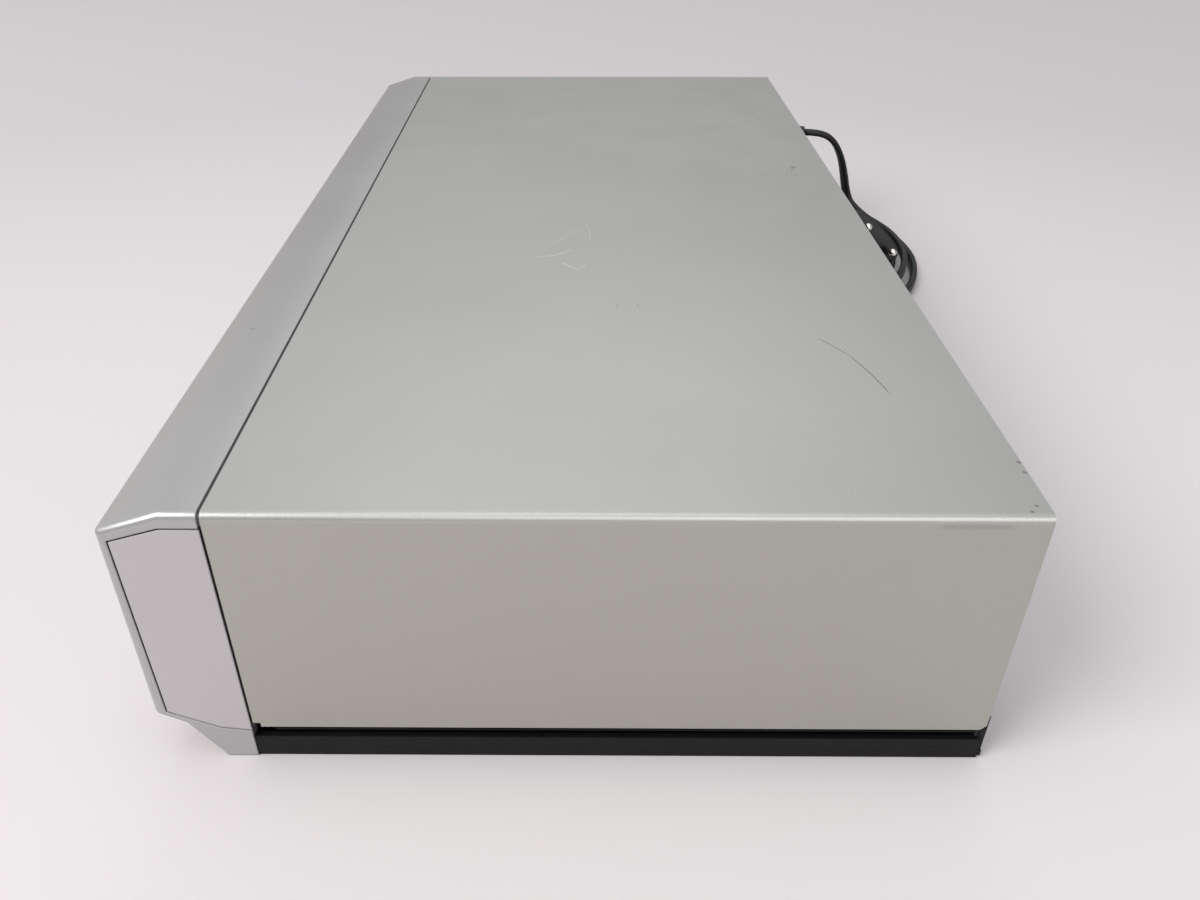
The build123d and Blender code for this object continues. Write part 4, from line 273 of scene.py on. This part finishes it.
deck_steel = plated_steel("plated_deck_steel", shade(172, 173, 174), 0.36, (1.0, 0.04, 1.0))
folded_steel = plated_steel("plated_folded_steel", shade(178, 179, 178), 0.32, (0.04, 1.0, 1.0))
drum_metal = Finish("turned_drum_metal", shade(208, 209, 212), 0.24, metallic=0.95)
drum_metal.raise_by(drum_metal.noise(900.0, 2.0, place=drum_metal.moved(size=(60.0, 60.0, 1.0))), 0.00004)
screw_metal = Finish("blackened_screw_metal", shade(58, 57, 59), 0.38, metallic=0.85)
screw_metal.tint(screw_metal.span(screw_metal.noise(900.0), 0.5, 0.75), shade(120, 118, 116))
nickel = Finish("nickel_plate", shade(236, 234, 230), 0.14, metallic=1.0)
nickel.tint(nickel.span(nickel.noise(500.0), 0.5, 0.8, 0.0, 0.5), shade(170, 160, 142))
nickel.vary_roughness(nickel.noise(300.0), 0.08, 0.24)
green_board = circuit_board("green_board", shade(40, 78, 44), shade(66, 110, 62))
tan_board = circuit_board("tan_board", shade(150, 118, 70), shade(120, 86, 44))


# Wear on the cover's top: x, y from the rear edge, length, width, turn, bow (mm, radians).
pale_scratches = [
    (59.1, -120.2, 17.0, 0.42, 2.073, 2.4),
    (69.4, -114.7, 10.0, 0.45, 0.771, 0.1),
    (69.6, -110.2, 3.6, 0.40, 2.356, 0.0),
    (39.6, -115.9, 28.0, 0.20, 2.529, -1.0),
    (38.1, -107.3, 18.5, 0.18, 0.038, -1.2),
    (-119.1, -30.7, 10.5, 0.50, 2.065, 0.0),
    (-132.7, -17.3, 6.4, 0.45, 2.554, -0.4),
]
dark_scratches = [
    (130.1, -33.8, 13.6, 0.26, 0.571, -0.3),
    (147.0, -26.8, 24.6, 0.26, 0.273, -0.6),
]
# Specks on the top: x, y from the rear edge, radius.
specks = [
    (-33.6, -31.1, 0.5), (-33.0, -29.2, 0.45), (-33.6, -24.0, 0.5), (-35.0, -21.6, 0.4),
    (-35.4, -19.4, 0.4), (-38.1, -16.7, 0.6), (-32.1, -16.2, 0.5), (-42.0, -15.7, 1.1),
    (-43.6, -14.6, 0.9), (101.9, -98.9, 0.4), (101.1, -92.2, 0.35), (210.4, -3.2, 0.5),
    (212.6, -5.0, 0.5), (192.2, -0.6, 0.7), (196.6, -0.8, 0.6),
]
# Smudges on the side: y from the rear edge, z, radius.
side_smudges = [(-18.7, 71.1, 0.9), (-17.4, 70.6, 0.7), (-12.9, 71.0, 0.8), (-15.0, 58.2, 0.6)]
# Small dark ticks on the bezel: x, y from the seam, z, length, width, turn.
bezel_ticks = [(116.0, -14.0, 83.5, 2.4, 0.5, 1.57), (213.2, -20.6, 81.2, 0.8, 0.2, 1.1)]


def paint_joint_shade_and_ticks():
    """Painted shade: the bezel's rear face and lip are painted dark where they show through the seam, and
    so are the walls of the groove round the cap, standing in for the shade inside these gaps. The groove's
    upper limit falls with the bezel's slope. Small dark ticks are marked on the bezel too."""
    x, y, z = bezel_paint.axes()
    # Painted shade: the seam's dark line, standing in for the shade inside the gap.
    seam = bezel_paint.span(y, seam_y - 0.05 * MM, seam_y + 0.05 * MM)
    bezel_paint.tint(bezel_paint.share(seam, 0.85), shade(84, 81, 78))
    # Painted shade: the groove walls round the cap are painted dark for the shade in the recess.
    groove_shade = shade(40, 37, 36)
    sunk = (half_width - 0.5 * MM, half_width - 0.3 * MM, 1.0, 0.0)
    aside = bezel_paint.maths("ABSOLUTE", x)
    fall = bezel_paint.span(y, seam_y - 23.0 * MM, seam_y - 10.0 * MM, 2.6 * MM, 0.0)
    groove = bezel_paint.span(aside, *sunk)
    for limit in (
        bezel_paint.span(aside, half_width - 2.2 * MM, half_width - 2.1 * MM),
        bezel_paint.span(y, seam_y - 23.2 * MM, seam_y - 23.1 * MM),
        bezel_paint.span(z, 18.2 * MM, 18.4 * MM),
        bezel_paint.span(bezel_paint.maths("ADD", z, fall), 81.0 * MM, 81.1 * MM, 1.0, 0.0),
    ):
        groove = bezel_paint.maths("MULTIPLY", groove, limit)
    bezel_paint.tint(bezel_paint.share(groove, 0.8), groove_shade)
    # Painted shade on the cap's own walls in the same groove.
    wall = cap_paint.span(cap_paint.maths("ABSOLUTE", cap_paint.axes()[0]), *sunk)
    cap_paint.tint(cap_paint.share(wall, 0.8), groove_shade)
    for x, y, z, length, width, turn in bezel_ticks:
        tick = bezel_paint.mark((x * MM, seam_y + y * MM, z * MM), length * MM, width * MM, turn)
        bezel_paint.tint(bezel_paint.share(tick, 0.7), shade(90, 90, 92))


def wear_and_side_shade_on_cover():
    """The cover's own marks: pale and dark hairline scratches, specks, and on its side smudges, one
    short scratch and a faint grey band under the fold. Its sides are painted darker and warmer than
    its top, as painted shade for how the light falls on them."""

    def stain(mask, amount, colour):
        cover_paint.tint(cover_paint.share(mask, amount), colour)

    rear = rear_y / MM
    for scratches, colour, strength in (
        (pale_scratches, shade(232, 231, 226), 0.75),
        (dark_scratches, shade(84, 80, 76), 0.9),
    ):
        for x, y, length, width, turn, bow in scratches:
            centre = (x * MM, (rear + y) * MM, cover_top)
            stain(cover_paint.mark(centre, length * MM, width * MM, turn, bow * MM), strength, colour)
    for x, y, radius in specks:
        speck = cover_paint.spot((x * MM, (rear + y) * MM, cover_top), radius * MM)
        stain(speck, 0.6, shade(88, 86, 82))
    for y, z, radius in side_smudges:
        smudge = cover_paint.spot((half_width, (rear + y) * MM, z * MM), radius * MM)
        stain(smudge, 0.28, shade(110, 107, 100))
    low_scratch = (half_width, (rear - 28.4) * MM, 27.3 * MM)
    scratch = cover_paint.mark(low_scratch, 3.6 * MM, 0.5 * MM, 1.76, normal="X")
    stain(scratch, 0.8, shade(92, 88, 80))
    # Painted shade: the cover's sides are tinted darker and warmer than its top, for how the light falls on
    # them.
    height = cover_paint.axes()[2]
    painted_side_shade = cover_paint.span(height, cover_top - 2.6 * MM, cover_top - 1.2 * MM, 1.0, 0.0)
    cover_paint.tint(painted_side_shade, shade(182, 181, 173))
    # A faint darker grey band under the fold near the rear.
    grey_band_under_fold = (half_width, (rear - 18.0) * MM, 82.2 * MM)
    stain(cover_paint.mark(grey_band_under_fold, 19.0 * MM, 1.5 * MM, 0.0, normal="X"), 0.2, shade(120, 122, 124))


paint_joint_shade_and_ticks()
wear_and_side_shade_on_cover()

node_finishes = {
    cover_paint: ["top_cover"],
    bezel_paint: ["front_bezel", "cassette_door", "av_flap"],
    cap_paint: ["end_cap_left", "end_cap_right"],
    key_paint: [name for name in nodes if name.endswith("_button")],
    base_plastic: ["chassis_tray"],
    panel_paint: ["rear_panel"],
    socket_plastic: ["scart_sockets", "front_av_sockets", "cord_gland", "cord_tie", "power_transformer"],
    foot_rubber: ["feet"],
    belt_rubber: ["drive_belt", "pinch_roller"],
    window_gloss: ["display_window"],
    deck_steel: ["deck_plate", "tuner_can", "pinch_arm", "tension_arm", "capstan_rotor", "loading_motor"],
    folded_steel: ["carriage_frame", "carriage_slider", "cassette_holder"],
    drum_metal: ["lower_drum", "upper_drum", "supply_guide", "takeup_guide", "erase_head", "control_head"],
    screw_metal: ["cover_screws"],
    nickel: ["aerial_sockets", "audio_sockets", "plug_pins"],
    green_board: ["control_board", "key_board"],
    tan_board: ["main_board", "power_board", "jack_board"],
    nylon: ["supply_reel", "takeup_reel", "cam_gear", "loading_pinion", "clutch_pulley", "timing_shaft"],
    cord_skin: ["mains_cord_lead", "mains_cord_hank", "mains_cord_tail"],
    plug_skin: ["mains_plug"],
}


def dress(name, finish):
    """The node's finish, and round shading over bends gentler than 28 degrees."""
    node = nodes[name]
    node.data.materials.clear()
    node.data.materials.append(finish.material)
    node.data.polygons.foreach_set("use_smooth", [True] * len(node.data.polygons))
    join = node.modifiers.new("join", "WELD")
    join.merge_threshold = 0.000002
    part = node.modifiers.new("part", "EDGE_SPLIT")
    part.split_angle = math.radians(28.0)


for finish, names in node_finishes.items():
    for name in names:
        dress(name, finish)


# --- Surfaces ----------------------------------------------------------------------------------------
def make_piece(name, points, faces, finish, body, slot, *replaced, smooth=True):
    """A new piece from its points and faces, riding on a body and standing for CAD nodes."""
    mesh = bpy.data.meshes.new(name)
    mesh.from_pydata(np.asarray(points).tolist(), [], [tuple(face) for face in faces])
    mesh.polygons.foreach_set("use_smooth", [smooth] * len(mesh.polygons))
    mesh.materials.append(finish.material)
    mesh.update()
    piece = bpy.data.objects.new(name, mesh)
    bpy.context.scene.collection.objects.link(piece)
    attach(piece, body)
    if replaced:
        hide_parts(*replaced)
    return piece


def skin_rings(rings):
    """Points and faces of a closed skin over rings of equal count: quads between neighbouring rings
    and a fan over each end ring, about its middle. rings is an array (ring, point, 3)."""
    count, around = rings.shape[:2]
    ring, point = np.meshgrid(np.arange(count - 1) * around, np.arange(around), indexing="ij")
    after, beyond = (point + 1) % around, ring + around
    quads = np.stack([ring + point, ring + after, beyond + after, beyond + point], axis=-1).reshape(-1, 4)
    points = np.concatenate([rings.reshape(-1, 3), rings[0].mean(0)[None], rings[-1].mean(0)[None]])
    first, last = count * around, count * around + 1
    here = np.arange(around)
    following = (here + 1) % around
    start_fan = np.stack([following, here, np.full(around, first)], axis=1)
    tail = (count - 1) * around
    end_fan = np.stack([tail + here, tail + following, np.full(around, last)], axis=1)
    return points, quads.tolist() + start_fan.tolist() + end_fan.tolist()


def oval(around, power):
    """Unit superellipse |x|^power + |y|^power = 1 at equal angles, as an array (around, 2)."""
    angle = np.linspace(0, 2 * math.pi, around, endpoint=False)
    cosine, sine = np.cos(angle), np.sin(angle)
    size = (np.abs(cosine) ** power + np.abs(sine) ** power) ** (-1 / power)
    return np.stack([cosine * size, sine * size], axis=1)


# --- Mains cord ---------------------------------------------------------------------------------------
# Route: x, y behind the cover's rear edge, z. Out of the strain relief, over and down to the table.
lead_route = [
    (-0.1920, 0.0210, 0.0585),
    (-0.1920, 0.0305, 0.0585),
    (-0.1932, 0.0395, 0.0538),
    (-0.1964, 0.0462, 0.0433),
    (-0.2006, 0.0508, 0.0310),
    (-0.2050, 0.0546, 0.0189),
    (-0.2017, 0.0583, 0.0096),
]
# From the hank's last run round its left end, over the turns and into the plug.
tail_route = [
    (-0.1865, 0.0109, 0.0098),
    (-0.1955, 0.0160, 0.0132),
    (-0.1995, 0.0255, 0.0160),
    (-0.1975, 0.0365, 0.0167),
    (-0.1905, 0.0445, 0.0164),
    (-0.1805, 0.0495, 0.0139),
    (-0.1703, 0.0513, 0.0106),
]
# The hank of four turns, in u and v from its own middle at x = hank_x and the cover's rear edge: a
# wide arc at the rear, a straight run at the front and a tight arc at each end, in two layers.
hank_x = -0.140
hank_front = 0.014
hank_rear = 0.0718
rear_radius = 0.092
end_radius = 0.0233
rear_centre = hank_rear - rear_radius
turn_step = 0.0062
layer_z = (0.0039, 0.00975)
rear_offsets = (-turn_step, turn_step, turn_step, 0.0)
front_offsets = (0.5 * turn_step, 1.5 * turn_step, 0.5 * turn_step, -0.5 * turn_step)
hank_start_u = -0.046
climb_turn = 1
cord_width = 0.0054
cord_thickness = 0.0035

# The plug lies on the turns: the way it points, its flat side's direction and where the cord enters.
plug_aim = np.array([0.95, -0.08, 0.30])
plug_aim /= np.linalg.norm(plug_aim)
plug_side = np.array([0.26, 0.72, -0.64])
plug_side -= plug_aim * plug_side.dot(plug_aim)
plug_side /= np.linalg.norm(plug_side)
plug_entry = np.array([-0.1511, rear_y + 0.0497, 0.0128])
plug_approach = 0.0096
plug_face = plug_entry + plug_aim * 0.050
plug_thin = np.cross(plug_aim, plug_side)
pin_aside = 0.0093


def arc_corners(centre, radius, start, end, count, z):
    """Where the tangents of count equal parts of an arc cross, from angle start to end in degrees."""
    edges = np.radians(np.linspace(start, end, count + 1))
    middles = (edges[:-1] + edges[1:]) / 2
    reach = radius / math.cos((edges[1] - edges[0]) / 2)
    return [(centre[0] + reach * math.cos(a), centre[1] + reach * math.sin(a), z) for a in middles]


def end_arc(rear_offset, front_offset):
    """Centre (u, v), radius and touching angle of the end arc between a rear arc and a front run."""
    radius = end_radius - (rear_offset + front_offset) / 2
    v = hank_front + front_offset + radius
    u = math.sqrt((rear_radius - rear_offset - radius) ** 2 - (v - rear_centre) ** 2)
    return (u, v), radius, math.degrees(math.atan2(v - rear_centre, u))


def hank_corners():
    """Corner points of the four turns: rear arc, right end, front run, left end, and so on."""
    corners = []
    start = math.degrees(math.acos(hank_start_u / (rear_radius - rear_offsets[0])))
    for turn, (rear_offset, front_offset) in enumerate(zip(rear_offsets, front_offsets)):
        z = layer_z[0] if turn <= climb_turn else layer_z[1]
        z_after = layer_z[0] if turn < climb_turn else layer_z[1]
        centre, radius, touch = end_arc(rear_offset, front_offset)
        corners += arc_corners((0, rear_centre), rear_radius - rear_offset, start, touch, 4, z)
        corners += arc_corners(centre, radius, touch, -90.0, 5, z)
        for share in (0.3, 0.7):
            u = centre[0] * (1 - 2 * share)
            corners.append((u, hank_front + front_offset, z + (z_after - z) * share))
        if turn < len(rear_offsets) - 1:
            centre, radius, touch = end_arc(rear_offsets[turn + 1], front_offset)
            corners += arc_corners((-centre[0], centre[1]), radius, 270.0, 180.0 - touch, 5, z_after)
            start = 180.0 - touch
    return [(hank_x + u, v, z) for u, v, z in corners]


def cord_line():
    """The cord's centreline as points along one smooth spline, and that spline's curve data."""
    corners = [(x, rear_y + y, z) for x, y, z in lead_route + hank_corners() + tail_route]
    corners += [tuple(plug_entry - plug_aim * plug_approach), tuple(plug_entry)]
    data = bpy.data.curves.new("cord_route", "CURVE")
    data.dimensions = "3D"
    data.resolution_u = 6
    spline = data.splines.new("NURBS")
    spline.points.add(len(corners) - 1)
    spline.points.foreach_set("co", [value for corner in corners for value in (*corner, 1.0)])
    spline.order_u = 3
    spline.use_endpoint_u = True
    holder = bpy.data.objects.new("cord_route", data)
    line = bpy.data.meshes.new_from_object(holder)
    points = np.zeros(len(line.vertices) * 3)
    line.vertices.foreach_get("co", points)
    bpy.data.objects.remove(holder)
    return points.reshape(-1, 3)


def cord_rings(line):
    """Rings of a flat twin flex round its line. Its wide side starts along X, lies back as it comes
    down, stands on edge in the hank and turns to the plug's own flat side at the end."""
    steps = np.linalg.norm(np.diff(line, axis=0), axis=1)
    travel = np.concatenate([[0.0], np.cumsum(steps)])
    ahead = np.gradient(line, axis=0)
    ahead /= np.linalg.norm(ahead, axis=1)[:, None]
    end = travel[-1]
    stations = [0.0, 0.02, 0.055, 0.10, 0.16, end - 0.09, end - 0.03, end]
    level, upright = (1, 0, 0), (0, 0, 1)
    wide = [level, level, (0.75, 0.6, 0.25), (0.1, 0.7, 0.7), upright, upright, plug_side, plug_side]
    across = np.stack([np.interp(travel, stations, [way[axis] for way in wide]) for axis in range(3)], 1)
    across -= ahead * (across * ahead).sum(1)[:, None]
    across /= np.linalg.norm(across, axis=1)[:, None]
    thin = np.cross(ahead, across)
    section = oval(20, 2.6)
    return (
        line[:, None]
        + section[None, :, :1] * across[:, None] * cord_width / 2
        + section[None, :, 1:] * thin[:, None] * cord_thickness / 2
    )


line = cord_line()
points, faces = skin_rings(cord_rings(line))
mains_flex = make_piece(
    "mains_flex", points, faces, cord_skin, "housing", "cord_pvc",
    "mains_cord_lead", "mains_cord_hank", "mains_cord_tail",
)


# --- Plug ------------------------------------------------------------------------------------------
def plug_rings(stations, around=48):
    """Rings of the plug's moulding. stations holds, from its face to the cord: distance back from the
    face, half width, half depth and roundness; between them each follows a smooth curve."""
    stations = np.array(stations)
    back = np.concatenate([np.linspace(a, b, 7)[:-1] for a, b in zip(stations[:-1, 0], stations[1:, 0])])
    back = np.append(back, stations[-1, 0])
    shape = [np.interp(back, stations[:, 0], stations[:, i]) for i in (1, 2, 3)]
    rings = []
    for distance, wide, deep, power in zip(back, *shape):
        section = oval(around, power)
        spread = section[:, :1] * plug_side * wide + section[:, 1:] * plug_thin * deep
        rings.append(plug_face - plug_aim * distance + spread)
    return np.array(rings)


plug_stations = [
    (0.0000, 0.0152, 0.0050, 2.6),
    (0.0004, 0.0163, 0.0060, 2.6),
    (0.0016, 0.0170, 0.0066, 2.6),
    (0.0050, 0.0171, 0.0067, 2.6),
    (0.0140, 0.0164, 0.0067, 2.6),
    (0.0200, 0.0140, 0.0061, 2.4),
    (0.0260, 0.0108, 0.0053, 2.3),
    (0.0320, 0.0080, 0.0047, 2.1),
    (0.0360, 0.0063, 0.0044, 2.0),
]
# Five soft ribs on the neck behind the moulding, in the same four measures.
ribs = [
    (0.0372 + 0.0024 * i + shift, radius - 0.0003 * i, radius - 0.0003 * i, 2.0)
    for i in range(5)
    for shift, radius in ((0.0, 0.0042), (0.0012, 0.0042), (0.0014, 0.0036), (0.0022, 0.0036))
]
points, faces = skin_rings(plug_rings(plug_stations + ribs)[::-1])
plug_body = make_piece("plug_body", points, faces, plug_skin, "housing", "cord_pvc", "mains_plug")


def pin_piece(name, stations, finish, slot, *replaced):
    """Both round pins, or both sleeves: stations are (distance out of the face, radius)."""
    section = oval(24, 2.0)
    rim = section[:, :1] * plug_side + section[:, 1:] * plug_thin
    all_points, all_faces = [], []
    for side in (-1, 1):
        middle = plug_face + plug_side * side * pin_aside
        rings = np.array([middle + plug_aim * out + rim * radius for out, radius in stations])
        points, faces = skin_rings(rings)
        all_faces += [[corner + len(all_points) for corner in face] for face in faces]
        all_points += points.tolist()
    return make_piece(name, all_points, all_faces, finish, "housing", slot, *replaced)


pin_radius, tip_start, tip_radius = 0.00195, 0.0172, 0.0018
metal_stations = [(0.009, pin_radius), (tip_start, pin_radius)]
metal_stations += [
    (tip_start + tip_radius * math.sin(a), pin_radius - tip_radius + tip_radius * math.cos(a))
    for a in np.linspace(0.2, 1.5, 7)
]
sleeve_stations = [(-0.002, 0.0019), (0.0098, 0.0019), (0.0100, 0.0017)]
pin_metal = pin_piece("plug_pin_metal", metal_stations, nickel, "pin_metal", "plug_pins")
pin_sleeves = pin_piece("plug_pin_sleeves", sleeve_stations, cord_skin, "cord_pvc")


# --- Light and ground --------------------------------------------------------------------------------
def light_the_studio():
    """A wide lamp off the front, in a surround that darkens and warms downwards, with broad
    brighter patches: beyond the far end, which the cover's top reflects, overhead, and low off the
    front, which the bezel's slope reflects. One more, above the near end, shows in gloss alone and
    draws the line of light along the fold."""
    world = bpy.data.worlds.new("surround")
    bpy.context.scene.world = world
    world.use_nodes = True
    tree = world.node_tree
    link = tree.links.new
    way = tree.nodes.new("ShaderNodeTexCoord").outputs["Generated"]

    def ramp(value, low, high, to_low, to_high):
        """value carried smoothly from low..high to to_low..to_high, clamped."""
        made = tree.nodes.new("ShaderNodeMapRange")
        made.interpolation_type = "SMOOTHSTEP"
        for key, number in zip(("From Min", "From Max", "To Min", "To Max"), (low, high, to_low, to_high)):
            made.inputs[key].default_value = number
        link(value, made.inputs["Value"])
        return made.outputs[0]

    def combine(first, second, operation="ADD"):
        made = tree.nodes.new("ShaderNodeMath")
        made.operation = operation
        link(first, made.inputs[0])
        link(second, made.inputs[1])
        return made.outputs[0]

    def patch(direction, low, high, strength):
        """strength where the cosine to direction is over high, fading to 0 at low."""
        towards = tree.nodes.new("ShaderNodeVectorMath")
        towards.operation = "DOT_PRODUCT"
        link(way, towards.inputs[0])
        towards.inputs[1].default_value = Vector(direction).normalized()
        return ramp(towards.outputs["Value"], low, high, 0.0, strength)

    split = tree.nodes.new("ShaderNodeSeparateXYZ")
    link(way, split.inputs[0])
    upwards = split.outputs[2]
    far_patch = patch((-0.70, -0.04, 0.72), 0.86, 0.99, 0.6)
    front_patch = patch((-0.55, -0.80, 0.20), 0.81, 0.99, 0.36)
    overhead = ramp(upwards, 0.91, 0.985, 0.0, 1.3)
    gloss = tree.nodes.new("ShaderNodeLightPath").outputs["Is Glossy Ray"]
    near_patch = combine(patch((0.80, 0.26, 0.54), 0.84, 0.98, 1.8), gloss, "MULTIPLY")
    evenly = ramp(upwards, 0.0, 0.9, 0.26, 0.60)
    total = combine(evenly, combine(combine(far_patch, overhead), combine(near_patch, front_patch)))
    tones = tree.nodes.new("ShaderNodeMix")
    tones.data_type = "RGBA"
    link(ramp(upwards, 0.0, 0.6, 0.0, 1.0), tones.inputs[0])
    tones.inputs[6].default_value = (1.0, 0.95, 0.88, 1.0)
    tones.inputs[7].default_value = (0.97, 0.98, 1.0, 1.0)
    background = tree.nodes["Background"]
    link(tones.outputs[2], background.inputs["Color"])
    link(total, background.inputs["Strength"])
    data = bpy.data.lights.new("soft_lamp", "AREA")
    data.shape = "DISK"
    data.size = 1.6
    data.energy = 40.0
    lamp = bpy.data.objects.new("soft_lamp", data)
    bpy.context.scene.collection.objects.link(lamp)
    place = Vector((1.2, -1.8, 2.0))
    lamp.matrix_world = Matrix.Translation(place) @ (-place).to_track_quat("-Z", "Y").to_matrix().to_4x4()


def lay_the_ground():
    """A wide pale table, painted darker away from the near end as painted shade for the light's falloff,
    with a very faint cloudiness.
    """
    table = Finish("pale_ground", shade(236, 230, 231), 0.9)
    table.tint(table.span(table.noise(1.6, 3.0), 0.35, 0.75, 0.0, 0.3), shade(230, 224, 224))
    # Painted shade: the table darkens with distance from the near end, standing in for the light's falloff.
    near_end = (0.34, 0.03, 0.0)
    away = table.add("ShaderNodeVectorMath", {0: table.place, 1: near_end}, operation="DISTANCE")
    table.tint(table.span(away.outputs[1], 0.2, 0.85), shade(212, 206, 208))
    reach = 4.0
    mesh = bpy.data.meshes.new("ground")
    corners = [(-reach, -reach, 0), (reach, -reach, 0), (reach, reach, 0), (-reach, reach, 0)]
    mesh.from_pydata(corners, [], [(0, 1, 2, 3)])
    mesh.materials.append(table.material)
    ground = bpy.data.objects.new("ground", mesh)
    bpy.context.scene.collection.objects.link(ground)


light_the_studio()
lay_the_ground()
bpy.context.scene.view_settings.view_transform = "Standard"
